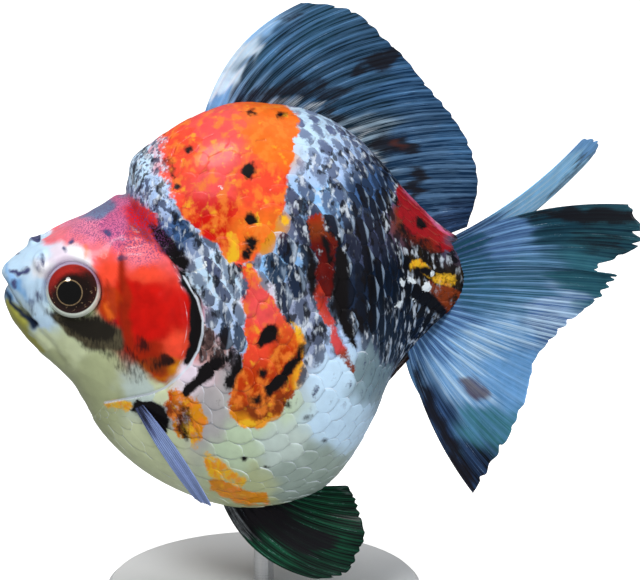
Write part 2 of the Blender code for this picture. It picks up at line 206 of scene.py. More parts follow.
PALETTE = {
    "snow": (0.88, 0.88, 0.92),
    "lilac": (0.84, 0.74, 0.86),
    "ice": (0.57, 0.79, 1.0),
    "pale blue": (0.44, 0.61, 0.92),
    "sky": (0.14, 0.35, 0.68),
    "azure": (0.27, 0.54, 0.93),
    "periwinkle": (0.16, 0.21, 0.48),
    "storm": (0.25, 0.30, 0.46),
    "abyss": (0.004, 0.016, 0.030),
    "indigo": (0.005, 0.026, 0.070),
    "steel": (0.056, 0.130, 0.31),
    "crown blue": (0.17, 0.25, 0.42),
    "deep sea": (0.018, 0.088, 0.135),
    # Partly painted light: cyan is the far tail lobe's blue, brightened to stand for light on its
    # strip, which faces away from the lamps.
    "cyan": (0.22, 0.56, 0.92),
    "slate": (0.060, 0.075, 0.150),
    "denim": (0.110, 0.145, 0.280),
    "navy": (0.008, 0.018, 0.045),
    "black": (0.004, 0.004, 0.006),
    "bark": (0.020, 0.013, 0.006),
    "teal": (0.007, 0.030, 0.050),
    "lagoon": (0.050, 0.200, 0.250),
    "olive": (0.42, 0.42, 0.08),
    # Sage, cream and celadon are partly the underside's own pale colour and partly painted light:
    # their green tint is a painted reflection of green water, and they are brightened to stand for
    # light from below.
    "sage": (0.49, 0.55, 0.31),
    "cream": (0.68, 0.76, 0.48),
    "celadon": (0.54, 0.68, 0.48),
    "pearl": (0.56, 0.68, 0.64),
    # Painted shade: mist darkens the rear lobe.
    "mist": (0.20, 0.29, 0.33),
    "rose": (0.52, 0.30, 0.28),
    "pink": (0.92, 0.19, 0.24),
    "orchid": (0.82, 0.23, 0.37),
    "magenta": (0.70, 0.15, 0.32),
    "oxblood": (0.10, 0.004, 0.003),
    "ember": (0.50, 0.040, 0.003),
    "lip": (0.38, 0.52, 0.64),
    "khaki": (0.11, 0.095, 0.055),
    # Painted shade: a greyed, darker green for the lower rear belly.
    "stone": (0.33, 0.42, 0.38),
    "moss": (0.012, 0.11, 0.055),
    "dove": (0.42, 0.40, 0.42),
    "flame": (0.90, 0.070, 0.030),
    "coral": (0.88, 0.088, 0.088),
    "scarlet": (0.62, 0.006, 0.003),
    "brick": (0.38, 0.018, 0.003),
    "rouge": (0.62, 0.060, 0.065),
    "crimson": (0.34, 0.008, 0.014),
    "tangerine": (0.88, 0.16, 0.015),
    "amber": (0.72, 0.27, 0.008),
    "gold": (0.86, 0.46, 0.02),
    "rust": (0.22, 0.035, 0.006),
    "plum": (0.085, 0.065, 0.12),
}

# Reference places on head and body: a, b, the ground colour, the dark colour of the net,
# the colour that a red marking has there, and how much of each scale the net darkens.
GROUNDS = {
    "snout tip": (-50.5, 71.0, "ice", "plum", "pink", 0.0),
    "snout": (-46.0, 67.5, "ice", "plum", "pink", 0.0),
    "snout top": (-46.5, 75.0, "ice", "plum", "pink", 0.0),
    "upper lip": (-50.2, 66.4, "sky", "plum", "pink", 0.0),
    "mouth corner": (-44.8, 60.0, "ice", "bark", "pink", 0.0),
    "jaw front": (-51.4, 62.4, "olive", "bark", "amber", 0.0),
    "lower jaw": (-49.6, 59.4, "olive", "bark", "amber", 0.0),
    "jaw edge": (-47.4, 55.4, "olive", "bark", "amber", 0.0),
    "jaw inside": (-44.2, 56.6, "cream", "bark", "amber", 0.0),
    "forehead": (-41.0, 73.6, "lilac", "plum", "pink", 0.0),
    "brow": (-36.5, 74.0, "snow", "plum", "pink", 0.0),
    "before the eye": (-44.0, 70.5, "snow", "plum", "pink", 0.0),
    "crown": (-35.0, 80.0, "orchid", "steel", "orchid", 0.0),
    "crown middle": (-30.0, 80.0, "magenta", "steel", "magenta", 0.0),
    "crown top": (-31.0, 85.0, "crown blue", "steel", "magenta", 0.0),
    "nape": (-25.6, 80.5, "scarlet", "black", "scarlet", 0.0),
    "behind the eye": (-31.2, 70.0, "flame", "black", "flame", 0.0),
    "cheek bar": (-30.0, 64.5, "ember", "black", "ember", 0.0),
    "upper cheek": (-38.5, 61.0, "cream", "bark", "pink", 0.0),
    "cheek": (-38.0, 54.5, "cream", "bark", "pink", 0.0),
    "lower cheek": (-33.5, 50.0, "sage", "bark", "pink", 0.0),
    "chin": (-41.5, 52.5, "sage", "bark", "pink", 0.0),
    "throat": (-32.0, 43.5, "sage", "bark", "amber", 0.0),
    "plate top": (-24.5, 73.5, "pink", "black", "pink", 0.0),
    "plate upper": (-24.0, 70.0, "pink", "black", "flame", 0.0),
    "plate": (-22.5, 64.5, "scarlet", "black", "scarlet", 0.0),
    "plate front": (-27.2, 66.0, "scarlet", "black", "scarlet", 0.0),
    "plate front low": (-27.0, 59.5, "crimson", "black", "scarlet", 0.0),
    "plate lower": (-22.0, 58.5, "scarlet", "black", "scarlet", 0.0),
    "plate rear": (-17.0, 62.0, "scarlet", "black", "scarlet", 0.0),
    "plate rear low": (-17.2, 54.5, "flame", "black", "flame", 0.0),
    "plate low": (-22.5, 53.5, "brick", "black", "brick", 0.0),
    "plate base": (-21.0, 50.6, "rust", "black", "rust", 0.0),
    "plate foot": (-21.0, 47.8, "cream", "black", "ember", 0.0),
    "membrane": (-16.5, 50.0, "lilac", "black", "amber", 0.0),
    "membrane low": (-24.5, 46.4, "pearl", "black", "amber", 0.0),
    "shoulder top": (-25.5, 92.0, "ice", "slate", "pink", 0.70),
    "shoulder": (-21.5, 86.0, "pale blue", "slate", "flame", 0.90),
    "shoulder low": (-17.5, 78.5, "steel", "navy", "scarlet", 0.85),
    "behind the plate": (-11.0, 68.0, "ice", "slate", "flame", 0.74),
    "upper flank": (-6.0, 66.5, "ice", "slate", "flame", 0.76),
    "flank": (-6.5, 59.5, "pale blue", "navy", "flame", 0.84),
    "fore flank": (-10.5, 55.5, "rose", "black", "flame", 0.84),
    "mid flank": (4.0, 71.5, "azure", "navy", "flame", 0.88),
    "before the crease": (8.0, 66.0, "storm", "navy", "flame", 0.86),
    "crease head": (11.2, 79.6, "slate", "black", "rust", 0.9),
    "crease top": (13.2, 75.0, "navy", "black", "oxblood", 0.9),
    "crease": (13.0, 68.0, "navy", "black", "oxblood", 0.9),
    "crease low": (15.0, 57.0, "pale blue", "black", "rouge", 0.6),
    "saddle front": (-16.0, 94.0, "lilac", "slate", "flame", 0.25),
    "saddle": (-9.0, 96.0, "pink", "rust", "coral", 0.0),
    "saddle middle": (-9.5, 88.5, "pink", "rust", "coral", 0.0),
    "saddle low": (-10.0, 81.0, "pale blue", "black", "scarlet", 0.75),
    "saddle rear": (-1.0, 88.0, "ice", "slate", "flame", 0.5),
    "saddle edge": (2.5, 97.5, "amber", "rust", "tangerine", 0.0),
    "saddle foot": (-1.5, 79.0, "amber", "rust", "tangerine", 0.1),
    "rear of saddle": (8.5, 99.0, "ice", "denim", "tangerine", 0.55),
    "upper side": (13.0, 92.0, "pale blue", "slate", "scarlet", 0.72),
    "side": (12.0, 84.0, "azure", "slate", "scarlet", 0.76),
    "upper rear": (22.0, 86.5, "steel", "black", "crimson", 1.0),
    "rear side": (21.5, 77.0, "slate", "black", "crimson", 1.0),
    "rear": (24.5, 68.5, "navy", "black", "crimson", 1.0),
    "low rear": (21.0, 61.0, "navy", "black", "crimson", 1.0),
    "beside the crease": (17.0, 66.0, "navy", "black", "crimson", 1.0),
    "behind the lobe": (26.0, 57.0, "navy", "black", "crimson", 0.95),
    # Painted shade: the darker mist ground stands for shade on the rear lobe.
    "rear lobe": (20.8, 50.0, "mist", "slate", "rust", 0.15),
    "rear belly": (15.5, 50.0, "ice", "slate", "rust", 0.12),
    "low rear belly": (14.5, 38.0, "ice", "slate", "rust", 0.05),
    # Painted shade: the stone ground here darkens the lower rear belly.
    "under the rear belly": (12.0, 31.5, "stone", "slate", "rust", 0.05),
    "lower patch top": (-1.0, 63.5, "lilac", "navy", "coral", 0.6),
    "lower patch": (-0.5, 55.5, "azure", "navy", "flame", 0.5),
    "lower patch rear": (4.5, 53.5, "dove", "navy", "ember", 0.5),
    "lower patch low": (-2.0, 47.5, "dove", "bark", "ember", 0.1),
    "lower patch foot": (0.5, 42.5, "celadon", "bark", "rust", 0.05),
    "rear of patch": (9.6, 56.5, "storm", "navy", "tangerine", 0.82),
    "pearly belly": (4.5, 34.5, "pearl", "mist", "amber", 0.0),
    "belly scales": (-5.0, 35.0, "celadon", "sage", "amber", 0.0),
    "fore belly": (-12.0, 40.0, "dove", "bark", "amber", 0.1),
    "beside the fin root": (-17.0, 39.6, "dove", "bark", "rust", 0.1),
    "breast": (-20.0, 36.5, "cream", "bark", "amber", 0.0),
    "breast low": (-24.0, 33.0, "cream", "bark", "amber", 0.0),
    "belly line": (-3.0, 25.0, "sage", "bark", "amber", 0.0),
    # Painted shade: the stone ground here darkens the rear of the belly line.
    "rear belly line": (7.0, 28.0, "stone", "slate", "amber", 0.0),
    "stem top": (38.0, 77.0, "plum", "black", "crimson", 0.6),
    "back rear": (31.5, 82.0, "rust", "black", "crimson", 0.3),
    "stem": (33.0, 72.0, "bark", "black", "rust", 0.8),
    "stem low": (32.5, 64.0, "bark", "black", "rust", 0.9),
    "stem end": (38.5, 66.5, "bark", "black", "rust", 0.6),
    "stem foot": (30.0, 59.0, "navy", "black", "crimson", 0.8),
}

# Soft washes of one colour over the grounds: the colour and a stroke.
WASHES = {
    "upper lip": (
        "lip", [(-51.8, 68.2, 0.3), (-50.0, 65.9, 0.6), (-47.8, 62.9, 0.6), (-46.4, 61.4, 0.2)],
    ),
    "snout ridge": ("azure", [(-51.6, 71.6, 0.4), (-50.2, 68.8, 0.5), 0.7]),
    "lower lip": (
        "olive", [(-51.6, 63.4, 0.6), (-49.6, 60.2, 0.9), (-47.4, 57.0, 1.0), (-44.6, 54.0, 0.7)],
    ),
    # Painted shade: a dark line in the mouth's slit, where the lips meet.
    "mouth": (
        "navy", [(-52.8, 67.6, 0.4), (-51.0, 64.8, 0.5), (-49.0, 62.0, 0.6), (-46.1, 59.4, 1.0)],
    ),
    "smudge haze": (
        "khaki", [(-41.4, 61.2, 1.2), (-37.6, 59.2, 2.4), (-34.0, 57.6, 3.6), (-29.8, 56.6, 2.6)],
    ),
    # Painted shade: darker red along the gill cover's front, beside the groove in front of it.
    "plate front": (
        "brick", [(-28.4, 74.0, 0.3), (-28.0, 67.0, 1.0), (-27.4, 60.0, 1.2), (-26.6, 55.0, 0.9)],
    ),
    "plate foot": ("amber", [(-19.4, 48.4, 0.1), (-21.4, 48.4, 0.1), 0.6]),
    "behind the eye": ("brick", [(-31.8, 68.6, 0.3), (-31.0, 64.4, 0.7), 0.7]),
    "eye corner": ("ember", [(-31.2, 66.0, 0.2), (-30.6, 63.4, 0.8), (-30.0, 61.8, 1.0)]),
    "eye corner gold": ("tangerine", [(-31.4, 64.0, 0.2), (-30.3, 61.2, 0.5), 0.7]),
    "brow line": ("tangerine", [(-35.8, 73.2, 0.1), (-35.4, 75.6, 0.3), 0.6]),
    "crown blue": ("crown blue", [(-36.6, 81.6, 0.8), (-33.4, 82.8, 1.6), (-31.0, 84.2, 1.2)]),
    "nape": ("brick", [(-26.6, 79.2, 0.4), (-24.4, 78.2, 0.7), (-22.2, 76.6, 0.4)]),
    "saddle fore": ("coral", [(-22.6, 95.5, 0.8), (-20.6, 91.0, 0.6), 0.5]),
    "purple root": ("plum", [(37.6, 77.0, 1.0), (40.4, 74.4, 1.2)]),
    "back line": ("magenta", [(28.6, 87.4, 0.5), (33.0, 83.4, 0.6), (37.4, 78.4, 0.5)]),
    "patch yellow": ("gold", [(6.8, 58.6, 0.3), (8.0, 54.0, 0.4), (6.6, 47.2, 0.4), 0.8]),
    "patch foot yellow": ("amber", [(-5.4, 41.2, 0.5), (-1.0, 38.9, 0.6), (3.2, 40.6, 0.3)]),
}

# The hard gill cover, and the line where the head's bare skin ends and the scales begin.
PLATE = [
    (-28.7, 76.6), (-28.9, 56.6), (-26.4, 53.2), (-24.6, 50.4), (-21.8, 48.2), (-19.4, 47.4),
    (-17.4, 49.4), (-16.2, 53.2), (-15.4, 57.3), (-15.3, 62.5), (-16.7, 68.7), (-19.2, 75.0),
    (-21.6, 77.0), (-25.0, 77.2),
]
HEAD_RIM = [
    (-28.9, 88.4), (-26.2, 82.6), (-22.8, 78.0), (-19.4, 73.8), (-15.9, 69.4), (-13.1, 64.6),
    (-12.0, 60.4), (-12.1, 57.6), (-13.0, 54.2), (-14.7, 51.1), (-17.1, 48.5), (-19.7, 46.4),
    (-22.7, 45.2), (-26.8, 44.3), (-31.8, 43.4), (-34.5, 40.4),
]
HEAD_OUTLINE = [(-70.0, 30.0), (-70.0, 100.0), (-29.5, 100.0)] + HEAD_RIM
SADDLE = [
    (-20.1, 95.5), (-19.0, 101.0), (-12.6, 107.0), (-2.0, 110.0), (4.5, 106.0), (7.2, 101.5),
    (6.3, 95.5), (5.6, 89.5), (4.4, 84.2), (2.6, 80.0), (0.0, 77.4), (-1.4, 72.6),
    (-4.6, 71.6), (-8.2, 73.6), (-12.6, 78.2), (-16.3, 82.0), (-18.6, 86.2), (-19.4, 90.3),
]
LOWER_PATCH = [
    (-2.5, 68.3), (-0.1, 66.6), (2.5, 64.5), (4.5, 60.4), (7.0, 57.3), (8.0, 53.8),
    (7.2, 49.0), (5.5, 43.9), (2.5, 40.2), (-1.5, 38.0), (-5.0, 38.1), (-7.0, 41.4),
    (-6.2, 45.5), (-4.6, 50.1), (-3.5, 55.3), (-3.3, 60.4), (-4.0, 64.5),
]
BACK_TRIANGLE = [
    (27.0, 88.0), (30.2, 86.8), (33.8, 83.1), (37.9, 78.0), (38.9, 74.8), (35.8, 74.4),
    (31.8, 74.8), (29.0, 78.0), (27.6, 81.8),
]
RED_OUTLINES = {
    "gill plate": PLATE,
    "saddle": SADDLE,
    "lower patch": LOWER_PATCH,
    "back": BACK_TRIANGLE,
}

# Strokes: circles (a, b, radius) joined into one mark. A last number under 1 makes the
# mark a mottled, partly see-through one.
RED = {
    "crown": [(-39.0, 79.0, 2.8), (-34.5, 79.8, 4.2), (-29.5, 81.0, 5.6), (-25.5, 79.5, 4.4)],
    "above the eye": [(-34.4, 76.8, 1.8), (-33.6, 74.8, 1.8), (-31.8, 74.6, 2.6)],
    "brow": [(-43.8, 77.2, 0.9), (-41.0, 78.2, 1.3), (-38.0, 78.0, 1.8), (-35.0, 77.4, 1.8)],
    "crown ridge": [(-29.8, 83.5, 1.6), (-28.6, 86.2, 1.2)],
    "behind the eye": [
        (-32.6, 73.8, 2.4), (-30.6, 70.5, 2.6), (-30.1, 65.0, 2.0), (-30.4, 62.6, 1.5),
    ],
    "temple": [(-31.5, 74.8, 2.2), (-26.5, 76.5, 2.6), (-22.2, 77.0, 1.6)],
    "crown foot": [(-34.2, 77.0, 1.8), (-30.4, 77.2, 2.6), (-26.0, 77.8, 2.4)],
    "nape fold": [(-28.2, 83.6, 1.4), (-25.4, 80.8, 1.3), (-23.2, 78.2, 1.1)],
    "crease": [
        (10.2, 81.0, 1.5), (12.4, 76.4, 2.3), (12.9, 70.0, 2.2), (12.2, 65.0, 1.3),
        (13.2, 60.0, 0.8), (15.2, 54.5, 0.8), (18.4, 50.4, 0.4), 0.9,
    ],
    "saddle fore": [(-20.6, 97.2, 1.0), (-19.4, 92.0, 1.4), (-18.2, 86.5, 1.0), 0.5],
    "stem": [(34.0, 67.0, 1.6), (38.4, 64.0, 2.6), 0.7],
    "under the plate": [
        (-18.0, 45.6, 1.3), (-15.0, 43.8, 1.8), (-13.4, 40.0, 2.2), (-13.6, 36.6, 1.6), 0.9,
    ],
    "belly band": [(-9.5, 26.6, 1.3), (-5.0, 24.2, 1.8), (0.0, 23.6, 1.2)],
    "low flank": [(-3.2, 70.6, 1.3), (-1.0, 67.6, 1.2)],
    "beside the fin root": [(-18.8, 43.6, 0.8), (-17.4, 40.8, 1.6), (-16.6, 37.0, 1.3), 0.9],
}
INK = {
    "saddle spot": [(-2.6, 91.4, 1.3), (-2.1, 89.6, 0.9)],
    "saddle low spot": [(-2.1, 81.7, 1.3)],
    "saddle top spot": [(4.1, 102.1, 0.9)],
    "saddle ridge spot": [(-1.9, 103.1, 0.8)],
    "saddle fore spot": [(-15.3, 95.5, 0.8)],
    "saddle fore flecks": [(-19.6, 93.4, 0.7), (-18.4, 90.6, 0.5), 0.6],
    "saddle edge spot": [(-17.3, 88.2, 0.8)],
    "saddle foot mark": [(-2.0, 77.0, 1.1), (-3.2, 73.6, 0.8)],
    "patch spot": [(-0.6, 55.4, 0.9), (1.9, 57.5, 2.1)],
    "patch spot low": [(0.0, 49.7, 1.0)],
    "patch bar": [(1.0, 46.0, 1.1), (4.2, 48.8, 1.4), (6.6, 52.0, 0.8), (7.4, 55.0, 0.5)],
    "patch foot": [(-1.3, 44.5, 0.7)],
    "patch edge": [(-6.4, 47.5, 1.0), (-4.8, 52.0, 0.8)],
    "belly flecks": [(-3.8, 31.8, 0.6)],
    "belly fleck rear": [(1.1, 30.1, 0.5)],
    "belly fleck side": [(12.2, 35.7, 0.5)],
    "belly fleck mid": [(5.1, 42.9, 0.7)],
    "belly fleck high": [(8.8, 40.4, 0.5)],
    "fin root": [(-25.4, 42.8, 1.2), (-21.6, 41.6, 2.4), (-20.4, 38.6, 1.6)],
    "fin root rear": [(-15.4, 41.6, 0.9), (-16.6, 38.0, 1.1), (-15.2, 35.6, 0.7), 0.7],
    "behind fin root": [
        (-15.2, 46.0, 0.8), (-11.4, 49.6, 1.5), (-8.6, 51.8, 1.1), (-6.6, 53.0, 0.6),
    ],
    "gill slit": [
        (-18.6, 74.6, 0.9), (-15.8, 69.6, 0.9), (-13.9, 64.6, 1.2), (-13.5, 59.6, 1.5),
        (-14.2, 54.6, 1.2), (-15.6, 51.6, 0.7),
    ],
    "behind the nape": [(-22.4, 79.8, 0.6), (-19.6, 76.6, 1.4), (-16.6, 71.6, 1.1)],
    "fore flank shade": [(-11.4, 57.6, 1.4), (-9.2, 53.8, 1.6), (-7.0, 50.4, 1.2), 0.5],
    "smudge": [
        (-43.0, 62.4, 0.1), (-40.6, 61.0, 0.9), (-37.6, 59.6, 1.8), (-34.0, 58.6, 2.7),
        (-31.6, 58.2, 2.2), (-29.8, 58.6, 1.0),
    ],
    "smudge foot": [(-35.0, 56.4, 1.6), (-30.6, 54.8, 1.8), 0.35],
    "plate spot": [(-24.0, 55.3, 1.1)],
    "plate spot rear": [(-19.7, 52.0, 1.3), (-21.8, 50.4, 0.5)],
    "snout mark": [(-50.2, 70.4, 0.4), (-49.0, 69.9, 0.7), (-47.6, 70.6, 0.45)],
    "snout mark low": [(-50.1, 68.3, 0.35), (-49.6, 66.9, 0.35), 0.8],
    "lip mark": [(-46.9, 64.2, 0.6), (-46.3, 62.4, 0.5), 0.8],
    "before the eye": [(-45.2, 65.8, 0.5), (-44.6, 65.0, 0.4), 0.7],
    "crown spot": [(-31.2, 78.4, 0.8)],
    "brow spot": [(-38.3, 76.7, 0.6)],
    "brow fleck": [(-39.7, 75.2, 0.5)],
    "temple spot": [(-28.0, 73.4, 0.8), 0.6],
    "crown patch": [(-34.0, 83.2, 0.8), (-30.8, 84.8, 1.0), 0.35],
    "cheek streaks": [(-28.6, 53.6, 1.8), (-26.0, 50.2, 2.0), 0.35],
    "crease edge": [(16.0, 73.0, 1.2), (15.8, 66.0, 1.8), (16.6, 60.5, 1.1), (18.0, 55.0, 0.7)],
    "crease fore edge": [(9.8, 74.0, 0.6), (9.9, 70.0, 0.9), (10.6, 66.0, 0.5)],
    "crease speck": [(12.0, 77.5, 0.6), (13.4, 72.5, 0.7)],
    "back spot": [(32.2, 80.4, 1.1)],
    "triangle foot": [(28.4, 79.0, 1.0), (30.6, 76.4, 1.4), (35.0, 74.8, 1.2), 0.6],
    "stem mark": [(31.0, 70.0, 1.0), (34.5, 70.6, 0.8)],
    "stem low mark": [(31.5, 65.5, 1.8), (36.0, 62.2, 1.2)],
}
GOLD = {
    "saddle drop": [(-0.4, 83.0, 0.5), (-0.9, 80.4, 0.7)],
    "saddle drop fore": [(-4.1, 80.8, 0.6)],
    "saddle flame": [(-6.0, 77.4, 1.1), (-5.9, 74.6, 1.3), (-6.4, 72.4, 0.7)],
    "saddle tail": [(-2.8, 71.2, 0.7)],
    "side fleck": [(4.3, 80.7, 0.9)],
    "stem blob": [(31.4, 71.4, 1.5), (32.6, 70.6, 1.4), 0.9],
    "stem flecks": [(35.4, 69.4, 1.1), (38.2, 68.2, 1.2), 0.7],
    "throat": [(-30.8, 43.2, 0.8), (-27.6, 42.6, 1.1), 0.7],
    "belly": [(-11.0, 32.0, 1.2), (-8.2, 29.0, 1.7), (-4.8, 27.2, 1.2), 0.8],
    "breast": [(-15.6, 38.6, 1.0), (-13.8, 35.2, 1.1), 0.7],
    "patch foot": [(-4.6, 39.0, 0.8), (0.5, 39.4, 0.8), 0.8],
    "patch side": [(5.8, 60.4, 0.6), (7.6, 56.2, 0.7), 0.7],
}
# Painted highlights: strokes where single shiny scales catch the light, painted in a pale colour.
PAINTED_GLINTS = {
    "stem bead fore": [(28.0, 68.2, 0.9)],
    "stem bead": [(30.1, 68.6, 0.7)],
    "stem bead high": [(34.3, 70.4, 0.8)],
    "stem bead low": [(32.8, 67.0, 1.0)],
    "stem bead foot": [(27.4, 63.6, 0.7), 0.7],
    "stem bead foot rear": [(30.2, 64.4, 0.6), 0.7],
    "saddle glint": [(-8.0, 87.8, 0.7), 0.5],
    "side bead": [(4.8, 79.4, 0.7), 0.7],
    "flank beads": [(-13.2, 70.4, 0.6), (-11.4, 72.0, 0.5), 0.8],
}

# Grooves and ridges of the head's skin and the body: places, depth and half width.
FOLDS = {
    "mouth": ([(-53.5, 69.6), (-51.2, 65.6), (-49.0, 62.3), (-46.3, 59.4)], -1.2, 0.60),
    "upper lip": ([(-52.0, 70.2), (-49.6, 65.4), (-46.6, 61.4)], 0.45, 1.3),
    "lower lip": ([(-52.5, 65.8), (-49.8, 61.2), (-47.0, 58.2)], 0.35, 1.1),
    "jaw line": ([(-46.2, 58.6), (-43.2, 55.6), (-40.5, 51.5)], -0.30, 0.8),
    "cheek": ([(-29.2, 74.0), (-29.3, 66.0), (-29.1, 57.0), (-27.2, 52.6)], -0.38, 1.1),
    "nape": ([(-28.4, 86.0), (-25.6, 82.0), (-22.8, 79.0), (-20.4, 76.2)], -0.8, 0.9),
    "nape swell": ([(-28.0, 81.5), (-24.6, 78.6)], 0.5, 2.4),
    "plate top": ([(-28.6, 75.4), (-25.8, 75.4), (-23.0, 76.6), (-20.6, 76.8)], -0.45, 1.2),
    "slit": (
        [(-18.6, 74.4), (-15.6, 69.6), (-14.0, 64.6), (-13.7, 59.4), (-14.6, 54.0),
        (-16.4, 50.6)], -0.7, 0.9,
    ),
    "eye bag": ([(-43.0, 64.4), (-38.5, 60.8), (-33.4, 63.0)], -0.25, 0.8),
    "crease": ([(9.6, 81.0), (12.6, 70.0), (16.4, 58.6), (20.6, 49.6)], -1.0, 2.2),
    "lobe": ([(17.6, 57.0), (19.8, 49.6), (20.2, 42.6)], 0.6, 2.6),
}
# The nostrils, each a place, the height and the width of its flap, and 1 where it is dark
# all over.
NOSTRILS = [(-43.9, -8.7, 76.2, 0.5, 0.6, 0), (-44.3, 3.2, 78.5, 0.9, 0.9, 1)]


# ---- curves, surfaces and noise ---------------------------------------------------------
def between(rows, u):
    """The rows of a table at u, counted in rows, along a smooth curve through all of them."""
    rows = np.asarray(rows, float)
    u = np.asarray(u, float)
    i = np.clip(u.astype(int), 0, len(rows) - 2)
    f = (u - i)[..., None]
    start, end = rows[i], rows[i + 1]
    leave = (end - rows[np.maximum(i - 1, 0)]) / 2
    arrive = (rows[np.minimum(i + 2, len(rows) - 1)] - start) / 2
    return (
        (2 * f**3 - 3 * f**2 + 1) * start
        + (f**3 - 2 * f**2 + f) * leave
        + (3 * f**2 - 2 * f**3) * end
        + (f**3 - f**2) * arrive
    )


def rib(name):
    return list(RIBS).index(name)


def ease(value, low, high):
    """0 below low, 1 above high, and smooth between."""
    t = np.clip((value - low) / (high - low), 0, 1)
    return t * t * (3 - 2 * t)


def body_surface(u, turn):
    """Points of the body: u counts ribs from the snout, turn is 0 on the back line, a half
    on the belly line, under a half on the left side and over it on the right."""
    u, turn = np.broadcast_arrays(np.asarray(u, float), np.asarray(turn, float))
    row = between(list(RIBS.values()), np.clip(u, 0, LAST_RIB))
    back, belly = row[..., 0:2], row[..., 2:4]
    half_width, bow = row[..., 4], row[..., 5]
    behind_head = ease(u, rib("cheeks"), rib("hump"))
    widest = WIDEST_HEAD + (WIDEST_BODY - WIDEST_HEAD) * behind_head
    above = CROWN_FULLNESS + (RIDGE_FULLNESS - CROWN_FULLNESS) * behind_head
    angle = 2 * math.pi * turn
    up, out = np.cos(angle), -np.sin(angle)
    power = 2 / np.where(up > 0, above, BELLY_FULLNESS)
    sac = ease(u, rib("shoulder"), rib("belly")) * (1 - ease(u, rib("middle"), rib("vent")))
    half_width = half_width + SAC_SWELL * sac * ease(-up, -0.3, 0.3)
    rise = np.sign(up) * np.abs(up) ** power
    down = widest - rise * np.where(up > 0, widest, 1 - widest)
    side = np.sign(out) * np.abs(out) ** power * half_width
    middle = back + (belly - back) * down[..., None]
    x = middle[..., 0] + bow * np.sin(math.pi * down)
    return np.stack([x, side, middle[..., 1]], -1)


def unit(vectors):
    return vectors / np.maximum(np.linalg.norm(vectors, axis=-1, keepdims=True), 1e-9)


def body_outward(u, turn, reach=0.004):
    """Unit normals of body_surface."""
    u = np.clip(u, reach, LAST_RIB - reach)
    along = body_surface(u + reach, turn) - body_surface(u - reach, turn)
    around = body_surface(u, turn + reach) - body_surface(u, turn - reach)
    return unit(np.cross(around, along))


def fin_sheet(fin, k, r):
    """Points of a fin's middle sheet: k runs over its rays, 0 to 1, and r from root to tip."""
    k, r = np.broadcast_arrays(np.asarray(k, float), np.asarray(r, float))
    row = between(fin["rays"], k * (len(fin["rays"]) - 1))
    root, tip = row[..., 0:3], row[..., 3:6]
    ray = tip - root
    first, last = fin["bow"]
    arch = (first + (last - first) * k) * 4 * r * (1 - r)
    forward = np.stack([-ray[..., 2], np.zeros_like(k), ray[..., 0]], -1)
    height, waves = fin["ripple"]
    sway = height * np.sin(2 * math.pi * waves * k) * r**2
    flat = root + ray * r[..., None] + forward * arch[..., None]
    return flat + np.stack([np.zeros_like(k), sway, np.zeros_like(k)], -1)


def ruffle(points, size, seed):
    """Smooth noise from -1 to 1 with lumps of that size, the same on every run."""
    place = np.asarray(points, float) / size + seed * 17.31
    cell = np.floor(place).astype(np.int64)
    part = place - cell
    part = part * part * (3 - 2 * part)
    total = np.zeros(place.shape[:-1])
    corners = np.stack(np.meshgrid(*[[0, 1]] * place.shape[-1], indexing="ij"), -1)
    for corner in corners.reshape(-1, place.shape[-1]):
        weight = np.prod(np.where(corner, part, 1 - part), -1)
        total += weight * chance(cell + corner, seed)
    return total * 2 - 1


def chance(cells, seed):
    """A number from 0 to 1 for each cell of whole numbers."""
    mixed = np.full(cells.shape[:-1], seed * 7919 + 12345, np.int64)
    for axis in range(cells.shape[-1]):
        mixed = (mixed ^ cells[..., axis]) * 0x27D4EB2D
        mixed = (mixed ^ (mixed >> 15)) & 0x7FFFFFFF
    mixed = (mixed * 0x165667B1) & 0x7FFFFFFF
    return (mixed ^ (mixed >> 13)) % 65536 / 65535


def drift(points, size, seed):
    """Two noises side by side, a shift of a and b, each from -1 to 1."""
    return np.stack([ruffle(points, size, seed), ruffle(points, size, seed + 1)], -1)


def hump(gap, middle, height, width):
    """A smooth ridge of that height and half width, highest where gap is middle."""
    return height * np.exp(-(((gap - middle) / width) ** 2))


def flank_place(points, near_side=False):
    """(a, b) of each point, from the viewpoint off its own side, or off the left side."""
    turn, rise = SIGHT_TURN, SIGHT_RISE
    back = (math.sin(turn) * math.cos(rise), -math.cos(turn) * math.cos(rise), math.sin(rise))
    right = (math.cos(turn), math.sin(turn), 0)
    from_centre = points - SIGHT_CENTRE
    if not near_side:
        from_centre[..., 1] = -np.abs(from_centre[..., 1])
    depth = SIGHT_AWAY - from_centre @ back
    a = SIGHT_CENTRE[0] + SIGHT_SCALE[0] * (from_centre @ right) / depth
    b = SIGHT_CENTRE[2] + SIGHT_SCALE[1] * (from_centre @ np.cross(back, right)) / depth
    return np.stack([a, b], -1)


def to_line(place, line):
    """The distance of each place from a line through the given points."""
    nearest = np.full(place.shape[:-1], 1e9)
    for start, end in zip(line, line[1:]):
        start, run = np.array(start), np.subtract(end, start)
        share = np.clip((place - start) @ run / (run @ run), 0, 1)
        gap = np.linalg.norm(place - start - share[..., None] * run, axis=-1)
        nearest = np.minimum(nearest, gap)
    return nearest


def within(place, outline):
    """How deep each place lies inside a closed outline; negative outside."""
    inside = np.zeros(place.shape[:-1], bool)
    for start, end in zip(outline, outline[1:] + outline[:1]):
        spans = (start[1] > place[..., 1]) != (end[1] > place[..., 1])
        slope = (end[0] - start[0]) / ((end[1] - start[1]) or 1e-9)
        inside ^= spans & (place[..., 0] < start[0] + slope * (place[..., 1] - start[1]))
    gap = to_line(place, outline + outline[:1])
    return np.where(inside, gap, -gap)


